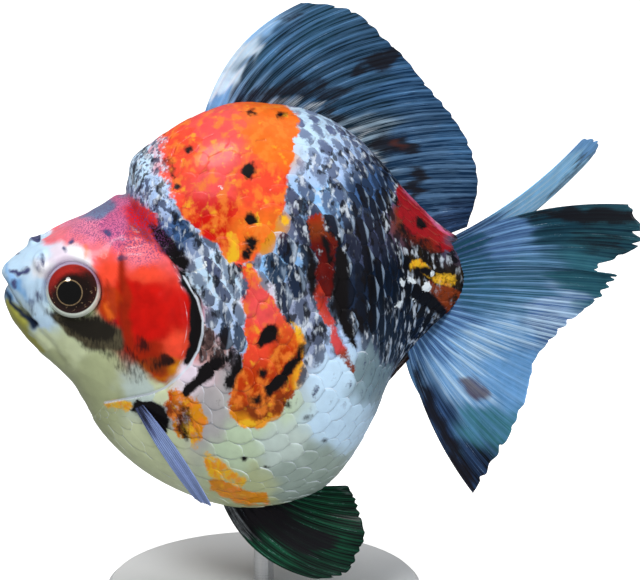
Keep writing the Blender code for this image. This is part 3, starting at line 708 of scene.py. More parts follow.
def stroke_depth(place, stroke):
    """How deep each place lies inside a chain of circles; negative outside."""
    stroke, strength = (stroke[:-1], stroke[-1]) if isinstance(stroke[-1], float) else (stroke, 1)
    deepest = np.full(place.shape[:-1], -1e9)
    ends = stroke[1:] or stroke[:1]
    for start, end in zip(stroke, ends):
        run = np.subtract(end, start)
        length = max(run[:2] @ run[:2], 1e-9)
        share = np.clip((place - start[:2]) @ run[:2] / length, 0, 1)
        gap = np.linalg.norm(place - start[:2] - share[..., None] * run[:2], axis=-1)
        deepest = np.maximum(deepest, start[2] + run[2] * share - gap)
    return np.minimum(deepest, MOTTLE * (2 * strength - 1)) if strength < 1 else deepest


def deepest_stroke(place, strokes):
    found = np.full(place.shape[:-1], -1e9)
    for stroke in strokes.values():
        found = np.maximum(found, stroke_depth(place, stroke))
    return found


def blend_grounds(place, table, first):
    """The table's colour and number columns at each place, smooth between its rows."""
    rows = list(table.values())
    weights = np.stack(
        [1 / (((place - row[:2]) ** 2).sum(-1) + GROUND_SPREAD) ** GROUND_POWER for row in rows]
    )
    weights /= weights.sum(0)
    fields = []
    for column in range(first, len(rows[0])):
        cells = [row[column] for row in rows]
        values = [PALETTE[c] if isinstance(c, str) else (c,) for c in cells]
        fields.append(np.einsum("n...,nc->...c", weights, np.array(values)))
    return fields


def markings(points, hearts=None):
    """The named fields of colour and markings at each point in millimetres. hearts gives the
    middle of the scale that each point is on, whose markings it partly takes."""
    hearts = points if hearts is None else hearts
    far_side = (points[..., 1] > 0)[..., None]
    wander = drift(points, 3.2, 3) * RAGGED
    wander += drift(points, 1.1, 5) * RAGGED * 0.5
    stray = drift(points, 14, 7) * FAR_SIDE_STRAY
    place = flank_place(hearts + (points - hearts) * (1 - SCALE_UNITY)) + wander
    marked = flank_place(hearts + (points - hearts) * (1 - MARK_UNITY)) + wander
    marked = marked + np.where(far_side, stray, 0)
    ground, dusk, warm, net = blend_grounds(place + wander * 0.6, GROUNDS, 2)
    for colour, stroke in WASHES.values():
        share = ease(stroke_depth(place, stroke), -0.6, 0.6)[..., None]
        ground += (np.array(PALETTE[colour]) - ground) * share
        warm += (np.array(PALETTE[colour]) - warm) * share
    red = deepest_stroke(marked, RED)
    for name, outline in RED_OUTLINES.items():
        red = np.maximum(red, within(place if name == "gill plate" else marked, outline))
    return {
        "ground": ground,
        "dusk": dusk,
        "warm": warm,
        "net": net[..., 0],
        "red": red,
        "ink": deepest_stroke(marked, INK),
        "gold": deepest_stroke(marked, GOLD),
        "painted_glint": deepest_stroke(marked, PAINTED_GLINTS),
    }


# ---- the skin's relief ------------------------------------------------------------------
PLATE_STEP, PLATE_SWELL = 0.40, 0.6  # how far the gill cover stands up at its edge, and inside
HEAD_STEP = 0.35  # how far the head's skin stands over the body behind its edge
HEAD_LUMPS, HEAD_LUMP_SIZE = 0.12, 2.4


def hide_relief(points):
    """How far the skin stands out from the plain body at each point, in millimetres."""
    place = flank_place(points)
    rise = np.zeros(points.shape[:-1])
    for line, height, width in FOLDS.values():
        rise += hump(to_line(place, line), 0.0, height, width)
    plate = within(place, PLATE)
    rise += PLATE_STEP * ease(plate, -0.3, 0.7) + PLATE_SWELL * ease(plate, 0.0, 7.0)
    head = within(place, HEAD_OUTLINE)
    rise += HEAD_STEP * ease(head, -0.1, 0.5) * ease(place[..., 0], -34, -27)
    rise += HEAD_LUMPS * ruffle(points, HEAD_LUMP_SIZE, 11) * ease(head, -1, 1)
    rise += eye_relief(points)
    for spot in NOSTRILS:
        rise += nostril_relief(points, spot)
    return rise


SOCKET_RIM = (6.1, 0.75, 0.75)  # the raised rim's radius, height and half width
SOCKET_SWELL = (7.6, 0.5, 2.2)  # the same of the swelling round it
SEAT_DEPTH, SEAT_EDGE = 2.2, (4.2, 5.7)  # the seat's depth, and the radii that its edge spans
SOCKET_REACH = 9.0  # how far across the body the socket acts, from the eye's middle


def eye_relief(points):
    """The socket that the eyeball sits in, with its raised rim."""
    x, y, z = EYE_PLACE
    side = np.where(points[..., 1] > 0, 1, -1)
    gap = np.hypot(points[..., 0] - x, points[..., 2] - z)
    near = np.abs(points[..., 1] - side * y) < SOCKET_REACH
    seat = -SEAT_DEPTH * (1 - ease(gap, *SEAT_EDGE))
    return np.where(near, hump(gap, *SOCKET_RIM) + seat + hump(gap, *SOCKET_SWELL), 0)


NOSTRIL_REACH, NOSTRIL_TALL = 3.4, 1.3  # how far a nostril acts, and its height over its width
FLAP_RING, FLAP_END = 1.2, 1.4  # the flap's radius, and how far back from the middle it ends
PIT_DEPTH, PIT_RADIUS = 0.4, 0.6
FLAP_INK_RING, FLAP_INK_WIDTH = 1.15, 0.6
INK_RADIUS = {0: 0.5, 1: 1.6}  # the radius of the dark middle, by the nostril's last number


def nostril_ring(points, spot):
    """Distance from a nostril's middle in its own radii, and how much each point belongs to
    its flap."""
    from_spot = points - np.array(spot[:3])
    along, up = from_spot[..., 0], from_spot[..., 2]
    close = np.exp(-((np.linalg.norm(from_spot, axis=-1) / NOSTRIL_REACH) ** 6))
    return np.hypot(along, up / NOSTRIL_TALL), close * (1 - ease(along, 0.0, FLAP_END))


def nostril_relief(points, spot):
    """A flap curved round the front of a small pit."""
    ring, flap = nostril_ring(points, spot)
    height, width = spot[3:5]
    pit = PIT_DEPTH * flap * np.exp(-((ring / PIT_RADIUS) ** 4))
    return hump(ring, FLAP_RING, height * flap, width) - pit


def nostril_ink(points, spot):
    """How deep each point lies inside a nostril's dark mark; negative outside."""
    ring, flap = nostril_ring(points, spot)
    edge = np.minimum(spot[4] * FLAP_INK_WIDTH - np.abs(ring - FLAP_INK_RING), 0.05)
    return np.maximum(edge, INK_RADIUS[spot[5]] - ring) * 0.7 - 2.0 * (1 - flap)


def hide_surface(u, turn, lift=0.0):
    """Points of the skin, with its relief, and lift millimetres above it."""
    plain = body_surface(u, turn)
    outward = body_outward(u, turn)
    height = hide_relief(plain) + lift
    return plain + outward * np.asarray(height)[..., None]


# ---- meshes -----------------------------------------------------------------------------
def make_piece(name, points, quads, triangles, corner_uv, attributes, material):
    """A smooth mesh object from arrays in millimetres, with an OFBake map and attributes."""
    mesh = bpy.data.meshes.new(name)
    corners = np.concatenate([quads.reshape(-1), triangles.reshape(-1)]).astype(np.int32)
    starts = np.concatenate(
        [np.arange(len(quads)) * 4, len(quads) * 4 + np.arange(len(triangles)) * 3]
    )
    mesh.vertices.add(len(points))
    mesh.vertices.foreach_set("co", (points * MM).astype(np.float32).ravel())
    mesh.loops.add(len(corners))
    mesh.loops.foreach_set("vertex_index", corners)
    mesh.polygons.add(len(starts))
    mesh.polygons.foreach_set("loop_start", starts.astype(np.int32))
    mesh.polygons.foreach_set("use_smooth", np.ones(len(starts), bool))
    mesh.uv_layers.new(name="OFBake")
    mesh.update(calc_edges=True)
    mesh.uv_layers["OFBake"].data.foreach_set("uv", corner_uv.astype(np.float32).ravel())
    for key, values in attributes.items():
        values = np.asarray(values, np.float32)
        if values.ndim == 2:
            layer = mesh.attributes.new(key, "FLOAT_VECTOR", "POINT")
            layer.data.foreach_set("vector", values.ravel())
        else:
            layer = mesh.attributes.new(key, "FLOAT", "POINT")
            layer.data.foreach_set("value", values)
    if mesh.validate():
        raise RuntimeError(f"{name} has faulty faces")
    mesh.materials.append(material)
    made = bpy.data.objects.new(name, mesh)
    bpy.context.scene.collection.objects.link(made)
    return made


def grid_faces(rows, columns, wrap=False):
    """Quads over a grid of points, and the row and the column of each quad's corners."""
    i, j = np.meshgrid(
        np.arange(rows - 1), np.arange(columns if wrap else columns - 1), indexing="ij"
    )
    i, j = i.ravel(), j.ravel()
    corner_row = np.stack([i, i, i + 1, i + 1], 1)
    corner_column = np.stack([j, j + 1, j + 1, j], 1)
    quads = corner_row * columns + corner_column % columns
    return quads, corner_row, corner_column


def capped_tube(rings, tips):
    """A tube of rings closed on two tips: its points, its quads, its triangles, each of which
    starts at its tip, and the row and the column of each quad's corners."""
    count, around = rings.shape[:2]
    quads, row, column = grid_faces(count, around, wrap=True)
    j = np.arange(around)
    following = (j + 1) % around
    tip, last = count * around, (count - 1) * around
    front = np.stack([np.full(around, tip), following, j], 1)
    rear = np.stack([np.full(around, tip + 1), last + j, last + following], 1)
    points = np.concatenate([rings.reshape(-1, 3), tips])
    return points, quads, np.concatenate([front, rear]), row, column


def tube_map(run, around, row, column):
    """The corners of a capped tube on its unwrap: across by turn, up by each ring's run."""
    j = np.arange(around)
    parts = [np.stack([column / around, run[row]], -1)]
    for tip, ring, second, third in ((0.0, run[0], j + 1, j), (1.0, run[-1], j, j + 1)):
        across = np.stack([j + 0.5, second, third], 1) / around
        parts.append(np.stack([across, np.full((around, 3), ring)], -1))
        parts[-1][:, 0, 1] = tip
    return np.concatenate([part.reshape(-1, 2) for part in parts])


def closed_sheet(middle, outward, thickness):
    """A closed sheet round a grid of middle points: its points, its quads, and the row, the
    column and the side of each quad's corners, side 0 being the one that outward points from."""
    rows, columns = middle.shape[:2]
    half = outward * (thickness / 2)[..., None]
    points = np.concatenate([(middle + half).reshape(-1, 3), (middle - half).reshape(-1, 3)])
    quads = grid_faces(rows, columns)[0]
    count = rows * columns
    edge = np.concatenate(
        [
            np.arange(columns),
            np.arange(1, rows) * columns + columns - 1,
            (rows - 1) * columns + np.arange(columns - 2, -1, -1),
            np.arange(rows - 2, 0, -1) * columns,
        ]
    )
    after = np.roll(edge, -1)
    rim = np.stack([after, edge, edge + count, after + count], 1)
    faces = np.concatenate([quads, quads[:, ::-1] + count, rim])
    flat = np.concatenate([quads, quads[:, ::-1], rim % count])
    side = np.concatenate([np.zeros_like(quads), np.ones_like(quads), np.zeros_like(rim)])
    return points, faces, flat // columns, flat % columns, side


NO_TRIANGLES = np.zeros((0, 3), int)


# ---- finishes ---------------------------------------------------------------------------
class Socket:
    """A node's output. Sums written on it add Math nodes."""

    def __init__(self, finish, output):
        self.finish = finish
        self.output = output

    def math(self, operation, *others):
        values = dict(enumerate((self, *others)))
        return self.finish.node("ShaderNodeMath", {"operation": operation}, values)

    def __add__(self, other):
        return self.math("ADD", other)

    __radd__ = __add__

    def __sub__(self, other):
        return self.math("SUBTRACT", other)

    def __rsub__(self, other):
        values = {0: other, 1: self}
        return self.finish.node("ShaderNodeMath", {"operation": "SUBTRACT"}, values)

    def __mul__(self, other):
        return self.math("MULTIPLY", other)

    __rmul__ = __mul__

    def between(self, low, high):
        """0 below low, 1 above high, smooth between; low may be the larger."""
        settings = {"interpolation_type": "SMOOTHSTEP"}
        values = {"Value": self, "From Min": low, "From Max": high}
        return self.finish.node("ShaderNodeMapRange", settings, values)


class Finish:
    """A material with one Principled shader, and the nodes that vary it."""

    def __init__(self, name, **constants):
        self.material = bpy.data.materials.new(name)
        self.material.use_nodes = True
        self.tree = self.material.node_tree
        self.shader = self.tree.nodes["Principled BSDF"]
        for socket, value in constants.items():
            self.shader.inputs[socket.replace("_", " ")].default_value = value
        self.place = self.node("ShaderNodeTexCoord", {}, {}, "Object")

    def node(self, kind, settings, values, output=0):
        made = self.tree.nodes.new(kind)
        for key, value in settings.items():
            setattr(made, key, value)
        for key, value in values.items():
            if isinstance(value, Socket):
                self.tree.links.new(value.output, made.inputs[key])
            else:
                made.inputs[key].default_value = value
        return Socket(self, made.outputs[output])

    def feed(self, **links):
        for socket, value in links.items():
            self.tree.links.new(value.output, self.shader.inputs[socket.replace("_", " ")])

    def field(self, name):
        return self.node("ShaderNodeAttribute", {"attribute_name": name}, {}, "Fac")

    def colour_field(self, name):
        return self.node("ShaderNodeAttribute", {"attribute_name": name}, {}, "Vector")

    def mix(self, factor, first, second):
        first, second = [c if isinstance(c, Socket) else (*c, 1.0) for c in (first, second)]
        values = {0: factor, 6: first, 7: second}
        return self.node("ShaderNodeMix", {"data_type": "RGBA"}, values, 2)

    def tint(self, colour, amount):
        """A colour brightened or darkened by a number."""
        values = {0: colour, "Scale": amount}
        return self.node("ShaderNodeVectorMath", {"operation": "SCALE"}, values)

    def noise(self, lump, detail, seed=0.0, stretch=None):
        """Noise about 0.5 with lumps of that size in millimetres, drawn out along an axis."""
        place = self.place
        if stretch:
            mapping = {"Vector": place, "Scale": stretch}
            place = self.node("ShaderNodeMapping", {}, mapping)
        if seed:
            values = {0: place, 1: (seed, seed, seed)}
            place = self.node("ShaderNodeVectorMath", {"operation": "ADD"}, values)
        values = {"Vector": place, "Scale": 1 / (lump * MM), "Detail": detail}
        return self.node("ShaderNodeTexNoise", {}, values)

    def strands(self, across, along):
        """Noise drawn out along a fin's rays."""
        place = self.node("ShaderNodeCombineXYZ", {}, {"X": across, "Y": along})
        values = {"Vector": place, "Scale": 1.0, "Detail": 3.0}
        return self.node("ShaderNodeTexNoise", {"noise_dimensions": "2D"}, values)

    def cells(self, size):
        """Rounded cells of that size in millimetres."""
        values = {"Vector": self.place, "Scale": 1 / (size * MM)}
        return self.node("ShaderNodeTexVoronoi", {}, values)

    def bump(self, height, depth, strength):
        """A normal that shows height, from 0 to 1, as depth in millimetres."""
        values = {"Height": height, "Distance": depth * MM, "Strength": strength}
        return self.node("ShaderNodeBump", {}, values)


class HideFinish(Finish):
    """The wet, calico hide, on the bare skin or on the scales."""

    def __init__(self, name, scaled):
        looks = self.looks = bpy.context.scene.ryukin_hide
        super().__init__(
            name, IOR=1.45, Specular_IOR_Level=0.08, Coat_Weight=looks.wetness, Coat_Roughness=0.14
        )
        self.grain = self.noise(0.5, 3)
        self.broad = self.noise(2.2, 2, 4.0)
        self.streak = self.noise(1.1, 3, 9.0, (0.8, 0.8, 0.35))
        waver = (self.grain - 0.5) * 0.7 + (self.broad - 0.5) * 1.1
        self.waver = waver * (1.0 if scaled else 0.6)
        self.net = self.field("net")
        dress = self.dress_scales if scaled else self.dress_skin
        ground = self.tint(self.colour_field("ground"), 0.86 + 0.28 * self.broad)
        dusk = self.tint(self.colour_field("dusk"), 0.6 + 0.8 * self.broad)
        warm = self.tint(self.colour_field("warm"), 0.72 + 0.56 * self.broad)
        ground, warm, red, ink, normal = dress(ground, dusk, warm)
        colour = self.mix(red, ground, warm)
        gold = (self.field("gold") + self.waver * 1.2).between(-0.3, 0.4)
        gilt = self.mix(self.streak.between(0.48, 0.62) * 0.6, looks.gold, looks.warm_scale)
        colour = self.mix(gold, colour, gilt)
        shade = self.mix(self.field("blueness"), looks.ink, looks.blue_ink)
        colour = self.mix(ink, colour, shade)
        film = (self.field("film") + (self.grain - 0.5) * 0.1).between(-0.12, 0.14)
        colour = self.mix(film * 0.85, colour, looks.scale_edge_and_glint)
        # Painted highlights on single shiny scales.
        painted_glint = (self.field("painted_glint") + self.waver * 1.6).between(-0.1, 0.25)
        colour = self.mix(painted_glint, colour, looks.painted_glint)
        freckles = self.noise(0.32, 2, 21.0).between(0.46, 0.60) * (0.2 + self.broad)
        colour = self.mix(freckles * self.field("freckle"), colour, looks.freckle)
        self.feed(Base_Color=colour, Roughness=0.26 + 0.22 * self.grain, Normal=normal)

    def dress_skin(self, ground, dusk, warm):
        """Bare skin: soft lace, hairy ink and pores."""
        lace = self.cells(2.6) + (self.grain - 0.5) * 0.5
        dark = (self.net * 0.8 - lace).between(-0.12, 0.12)
        ground = self.mix(dark * (self.net - 0.02).between(0.0, 0.12), ground, dusk)
        red = (self.field("red") + self.waver).between(-0.9, 0.75)
        marked = self.field("ink") + self.waver
        hairs = self.noise(0.45, 3, 27.0, (1.0, 1.0, 0.22))
        hair = self.field("hair")
        soft = (marked + (hairs - 0.5) * 3.4).between(-1.1, 1.0)
        plain = marked.between(-0.4, 0.4)
        ink = (plain + (soft - plain) * hair) * (1.0 - 0.14 * hair)
        normal = self.bump(self.grain * 0.6 + self.cells(0.55) * 0.4, 0.06, 0.6)
        return ground, warm, red, ink, normal

    def dress_scales(self, ground, dusk, warm):
        """Scales: a dark net between pale edges, odd warm ones in the red, growth rings."""
        looks, net = self.looks, self.net
        luck, along = self.field("luck"), self.field("along")
        reach = net * (1.6 + 0.7 * luck) + (self.grain - 0.5) * 1.2 + (self.broad - 0.5) * 1.4
        dark = reach - self.field("from_heart") + (self.streak - 0.5) * 1.5
        dark = dark.between(-0.34, 0.34) * (net - 0.02).between(0.0, 0.12) * (0.65 + 0.35 * luck)
        shred = self.noise(1.0, 3, 41.0, (1.0, 1.0, 0.7)) + (self.grain - 0.5) * 0.25
        shred = shred.between(0.46, 0.58) * net.between(0.1, 0.4)
        fleck = self.field("fleck")
        dark = dark * (1.0 - fleck) + shred * fleck * 0.9
        edge = self.field("brink").between(0.38, 0.08)
        light = self.node("ShaderNodeRGBToBW", {}, {"Color": ground}).between(0.02, 0.25)
        ground = self.mix(edge * (0.15 + 0.5 * luck) * light, ground, looks.scale_edge_and_glint)
        ground = self.net_details(self.mix(dark, ground, dusk), luck, along)
        red = (self.field("red") + self.waver * 1.5).between(-0.30, 0.35)
        blush = self.noise(2.0, 4, 13.0, (1.0, 1.0, 0.75)) + (luck - 0.5) * 0.08
        blush = blush.between(0.47, 0.65) * self.field("blush")
        warm = self.mix(blush * 0.75, warm, looks.warm_scale)
        glow = self.noise(1.8, 3, 51.0).between(0.58, 0.74) * self.field("blush")
        warm = self.mix(glow * 0.6, warm, looks.gold)
        warm = self.mix(edge * 0.12, warm, looks.warm_edge)
        ink = self.field("ink") + self.waver + (self.streak - 0.5) * 0.9
        rings = (along * 60.0).math("SINE") * 0.5 + 0.5
        normal = self.bump(self.grain * 0.75 + rings * 0.25, 0.05, 0.4)
        return ground, warm, red, ink.between(-0.45, 0.45), normal

    def net_details(self, colour, luck, along):
        """Black hollows, pale shards of painted glint and crescents where the net is dense."""
        looks, net = self.looks, self.net
        restless = net.between(0.48, 0.74)
        hollow = self.noise(1.5, 3, 37.0, (1.0, 1.0, 0.45)).between(0.54, 0.62)
        colour = self.mix(hollow * restless * 0.85, colour, looks.ink)
        # Painted highlights: pale shards that stand for light glinting on the net's scales.
        painted_glint_shard = self.noise(1.1, 3, 31.0, (1.0, 1.0, 0.4)).between(0.52, 0.68)
        painted_glint_shard = painted_glint_shard * restless * net.between(1.0, 0.92) * 0.7
        colour = self.mix(painted_glint_shard, colour, looks.scale_edge_and_glint)
        crescent = along.between(0.74, 0.84) * along.between(1.0, 0.94)
        broken = (self.streak + (luck - 0.5) * 0.25).between(0.46, 0.60)
        crescent = crescent * broken * net.between(0.72, 0.95)
        return self.mix(crescent * 0.75, colour, looks.dash)


def fin_finish(name):
    """Thin skin over rays: pale rays, darker membrane between, and blotches."""
    looks = bpy.context.scene.ryukin_fins
    finish = Finish(
        name, IOR=1.45, Specular_IOR_Level=0.06, Coat_Weight=0.09, Coat_Roughness=0.15
    )
    ray, reach = finish.field("ray"), finish.field("reach")
    grain = finish.noise(0.45, 3)
    broad = finish.noise(3.0, 3, 2.0)
    fray = finish.strands(ray * 5.0, reach * 4.0)
    hairs = finish.strands(ray * 17.0, reach * 3.0)
    off_ray = ((ray.math("FRACT") - 0.5).math("ABSOLUTE")) * 2.0
    main = (off_ray + (fray - 0.5) * 0.9).between(0.52, 0.18)
    off_fork = (((ray * 3.0).math("FRACT") - 0.5).math("ABSOLUTE")) * 2.0
    fine = (off_fork + (fray - 0.5) * 0.9).between(0.62, 0.30) * reach.between(0.10, 0.5)
    hair = hairs.between(0.53, 0.64)
    streak = main * (0.8 - 0.4 * reach) + fine * 0.40 + hair * 0.45
    membrane = finish.tint(finish.colour_field("membrane"), 0.6 + 0.8 * broad)
    pale = finish.tint(finish.colour_field("pale"), 0.6 + 0.8 * fray)
    strength = finish.field("streaks")
    colour = finish.mix((streak * strength).math("MINIMUM", 1.0), membrane, pale)
    # Painted highlights: bright flecks along the rays where light glints on them.
    glint = (hairs + (grain - 0.5) * 0.4).between(0.66, 0.80) * main
    colour = finish.mix(glint * strength * 0.6, colour, looks.glint)
    waver = (grain - 0.5) * 0.8 + (broad - 0.5) * 1.4 + (fray - 0.5) * 2.2
    blotch = (finish.field("ink") + waver).between(-0.9, 1.0)
    colour = finish.mix(blotch * 0.92, colour, looks.blotch)
    rust = (finish.field("red") + waver * 0.6).between(-0.7, 1.0)
    colour = finish.mix(rust * 0.75, colour, looks.rust)
    fringe = (finish.field("fringe") + waver * 0.8).between(-0.8, 0.9) * (0.25 + 0.9 * hair)
    colour = finish.mix(fringe * 0.8, colour, looks.fringe)
    roughness = 0.34 + 0.25 * grain
    joints = (reach * 60.0 + fray * 4.0).math("SINE") * 0.5 + 0.5
    height = streak * 0.5 + joints * main * 0.2 + grain * 0.3
    normal = finish.bump(height, 0.08, 0.6)
    finish.feed(Base_Color=colour, Roughness=roughness, Normal=normal)
    return finish.material


def eye_finish(name):
    """A glossy eyeball: black pupil, thin gold ring, red-brown iris, and a rim that is pale below,
    partly its own colour and partly painted light.
    """
    looks = bpy.context.scene.ryukin_eyes
    finish = Finish(
        name, IOR=1.40, Coat_Weight=0.5, Coat_Roughness=0.03, Specular_IOR_Level=0.15
    )
    gap, pupil_gap, height = finish.field("gap"), finish.field("pupil_gap"), finish.field("up")
    grain = finish.noise(0.35, 3)
    spokes = finish.noise(0.9, 4, 3.0)
    crescent = finish.field("crescent") + (spokes - 0.5) * 2.4
    upper = crescent.between(0.4, 4.4) * gap.between(2.6, 4.2) * (0.6 + 0.8 * grain)
    iris = finish.mix(upper, looks.iris, looks.upper_iris)
    glow = (gap + (spokes - 0.5) * 0.8).between(3.0, 4.6)
    iris = finish.mix(glow * 0.45, iris, looks.iris_edge)
    fleck = finish.noise(0.7, 3, 8.0).between(0.60, 0.72) * gap.between(2.6, 3.2)
    iris = finish.mix(fleck * height.between(2.0, -1.0) * 0.8, iris, looks.ring)
    # The rim is pale below and lilac above. The pale lower part is partly its own colour and partly
    # painted light, brightened so that it still looks lit where it faces down.
    rim = finish.mix((height + (grain - 0.5)).between(-1.5, 2.0), looks.lower_rim_painted_lit, looks.upper_rim)
    band = (gap - 0.06 * height).between(4.60, 4.85)
    colour = finish.mix(band, iris, rim)
    outer = gap.between(5.35, 5.6)
    colour = finish.mix(outer * height.between(-4.0, 0.0) * 0.7, colour, looks.upper_rim)
    ring = pupil_gap.between(2.28, 2.36) * pupil_gap.between(2.60, 2.48)
    colour = finish.mix(ring * (0.1 + 1.2 * grain), colour, looks.ring)
    colour = finish.mix(pupil_gap.between(2.38, 2.28), colour, looks.pupil)
    roughness = 0.12 + 0.2 * band
    metal = ring * 0.6
    finish.feed(Base_Color=colour, Roughness=roughness, Metallic=metal)
    return finish.material


def paint_finish(name):
    """Satin paint on a turned base."""
    looks = bpy.context.scene.ryukin_stand
    finish = Finish(name, Coat_Weight=0.15, Coat_Roughness=0.3)
    peel = finish.noise(1.6, 2)
    dust = finish.noise(14.0, 4, 5.0)
    colour = finish.mix(dust.between(0.35, 0.75) * 0.10, looks.base_colour, looks.base_shade)
    finish.feed(
        Base_Color=colour,
        Roughness=0.36 + 0.16 * dust,
        Normal=finish.bump(peel, 0.03, 0.5),
    )
    return finish.material


def steel_finish(name):
    """Brushed steel with its grain round the rod."""
    looks = bpy.context.scene.ryukin_stand
    finish = Finish(name, Metallic=1.0)
    brush = finish.noise(2.0, 3, 0.0, (0.15, 0.15, 9.0))
    finish.feed(
        Base_Color=finish.mix(brush, looks.steel, looks.steel_shade),
        Roughness=0.2 + 0.2 * brush,
        Normal=finish.bump(brush, 0.02, 0.4),
    )
    return finish.material


# ---- settings ---------------------------------------------------------------------------
def colour_setting(name, default, description):
    return FloatVectorProperty(
        name=name,
        description=description,
        default=default,
        size=3,
        min=0.0,
        max=1.0,
        subtype="COLOR",
    )


def length_setting(name, millimetres, description):
    return FloatProperty(
        name=name,
        description=description,
        default=millimetres * MM,
        min=0.0,
        unit="LENGTH",
        precision=5,
    )


class HideSettings(bpy.types.PropertyGroup):
    coat_depth: length_setting("Coat depth", 0.25, "How far the skin lies inside the solids")
    rings: IntProperty(name="Rings", description="Rings of the skin's mesh", default=300, min=60)
    round: IntProperty(name="Round", description="Points round each ring", default=312, min=60)
    wetness: FloatProperty(
        name="Wetness", description="Clear film over the hide", default=0.17, min=0, max=1
    )
    ink: colour_setting("Black", (0.006, 0.005, 0.006), "Black markings")
    blue_ink: colour_setting("Blue black", (0.065, 0.075, 0.19), "Markings on the pale head")
    gold: colour_setting("Gold", (0.90, 0.50, 0.02), "Gold scales")
    # Colour of the painted highlights on single shiny scales.
    painted_glint: colour_setting("Spark", (0.85, 0.92, 0.95), "Reflecting scales")
    freckle: colour_setting("Freckle", (0.16, 0.045, 0.17), "Freckles on the crown")
    dash: colour_setting("Dash", (0.30, 0.40, 0.54), "Pale crescents on the dark rear scales")
    # Pale rear edges of scales, pale free edges, and the colour of the painted glints in the net.
    scale_edge_and_glint: colour_setting("Scale edge", (0.74, 0.82, 0.92), "Rear edges of pale scales")
    warm_edge: colour_setting("Warm edge", (0.95, 0.30, 0.18), "Rear edges of red scales")
    warm_scale: colour_setting("Orange scale", (0.90, 0.24, 0.03), "Odd scales in the red")


class ScaleSettings(bpy.types.PropertyGroup):
    pitch: length_setting("Pitch", 3.3, "From one column of scales to the next")
    tail_pitch: length_setting("Tail pitch", 2.5, "The same on the tail stem")
    rows: IntProperty(name="Rows", description="Scales round the body", default=46, min=12)
    lift: length_setting("Lift", 0.20, "How far a scale's rear edge stands up")
    thickness: length_setting("Thickness", 0.14, "Thickness of a scale")
    overlap: FloatProperty(
        name="Overlap", description="Length of a scale in columns", default=1.75, min=1
    )


class EyeSettings(bpy.types.PropertyGroup):
    pupil: colour_setting("Pupil", (0.001, 0.001, 0.001), "Pupil")
    ring: colour_setting("Ring", (0.55, 0.38, 0.20), "Thin ring round the pupil")
    iris: colour_setting("Iris", (0.008, 0.002, 0.001), "Lower iris")
    upper_iris: colour_setting("Upper iris", (0.55, 0.018, 0.012), "Upper iris")
    iris_edge: colour_setting("Iris edge", (0.06, 0.006, 0.004), "Outer edge of the iris")
    # Partly painted light: the rim's lower part is painted pale so that it looks lit from below.
    lower_rim_painted_lit: colour_setting("Lower rim", (0.86, 0.95, 0.84), "Rim under the iris")
    upper_rim: colour_setting("Upper rim", (0.36, 0.28, 0.42), "Rim above the iris")


class FinSettings(bpy.types.PropertyGroup):
    ray_thickness: length_setting("Ray", 0.42, "Thickness of a fin at its rays")
    web_thickness: length_setting("Web", 0.25, "Thickness between the rays")
    blotch: colour_setting("Blotch", (0.010, 0.009, 0.012), "Dark blotches on the fins")
    rust: colour_setting("Rust", (0.09, 0.026, 0.018), "Brown-red blotches on the fins")
    # Colour of the painted highlights along the rays.
    glint: colour_setting("Glint", (0.62, 0.78, 0.95), "Bright flecks along the rays")
    fringe: colour_setting("Fringe", (0.42, 0.46, 0.50), "Pale, thin skin at roots and edges")


class StandSettings(bpy.types.PropertyGroup):
    base_colour: colour_setting("Base", (0.78, 0.79, 0.80), "Paint of the base")
    base_shade: colour_setting("Base shade", (0.66, 0.67, 0.69), "Clouding in the paint")
    steel: colour_setting("Steel", (0.72, 0.73, 0.75), "Rod")
    steel_shade: colour_setting("Steel shade", (0.52, 0.53, 0.55), "Brush marks on the rod")


class StageSettings(bpy.types.PropertyGroup):
    floor: colour_setting("Floor", (0.93, 0.93, 0.93), "Floor and backdrop")
    key: FloatProperty(name="Key", description="Key light in watts", default=6.0, min=0)
    fill: FloatProperty(name="Fill", description="Fill light in watts", default=5.6, min=0)
    top: FloatProperty(name="Top", description="Top light in watts", default=2.5, min=0)
    glow: FloatProperty(name="Glow", description="Light of the floor itself", default=0.62, min=0)
    sky: FloatProperty(name="Sky", description="Light from all round", default=0.30, min=0)


# ---- the pieces -------------------------------------------------------------------------
FRECKLED = [(-37.0, 79.0, 2.5), (-28.0, 81.0, 6.5), (-24.0, 77.0, 5.0)]
HEAD_REAR, PLATE_REAR = HEAD_RIM[4:15], PLATE[5:12]  # free edges, which show as pale lines
HAIRY = {name: INK[name] for name in ("smudge", "cheek streaks")}


def hide_attributes(points, hearts=None):
    """Markings of the hide as the mesh attributes its finish reads."""
    fields = markings(points, hearts)
    place = flank_place(points)
    a, b = place[..., 0], place[..., 1]
    snout, forehead = ease(-a, 37, 45) * ease(b, 61, 64), ease(b, 71, 75) * ease(-a, 22, 27)
    beside_mouth = ease(to_line(place, FOLDS["mouth"][0]), 0.7, 1.3)
    fields["blueness"] = np.clip(snout + forehead, 0, 1) * beside_mouth
    for spot in NOSTRILS:
        fields["ink"] = np.maximum(fields["ink"], nostril_ink(points, spot))
    head_edge, plate_edge = to_line(place, HEAD_REAR), to_line(place, PLATE_REAR)
    fields["film"] = np.maximum(0.26 - head_edge, 0.08 - plate_edge)
    fields["hair"] = ease(deepest_stroke(place, HAIRY), -7, -2.5)
    fields["fleck"] = ease(-a, 13, 19) * ease(b, 74, 79)
    fields["blush"] = ease(-a, -10, -6) * ease(a, -22, -18)
    fields["freckle"] = ease(stroke_depth(place, FRECKLED), -2.0, 2.5)
    return {
        name: values.reshape(-1, *values.shape[points.ndim - 1 :])
        for name, values in fields.items()
    }


HEAD_RINGS, HEAD_END = 0.62, 8.0  # the share of the rings that lie on the head, and its end in u


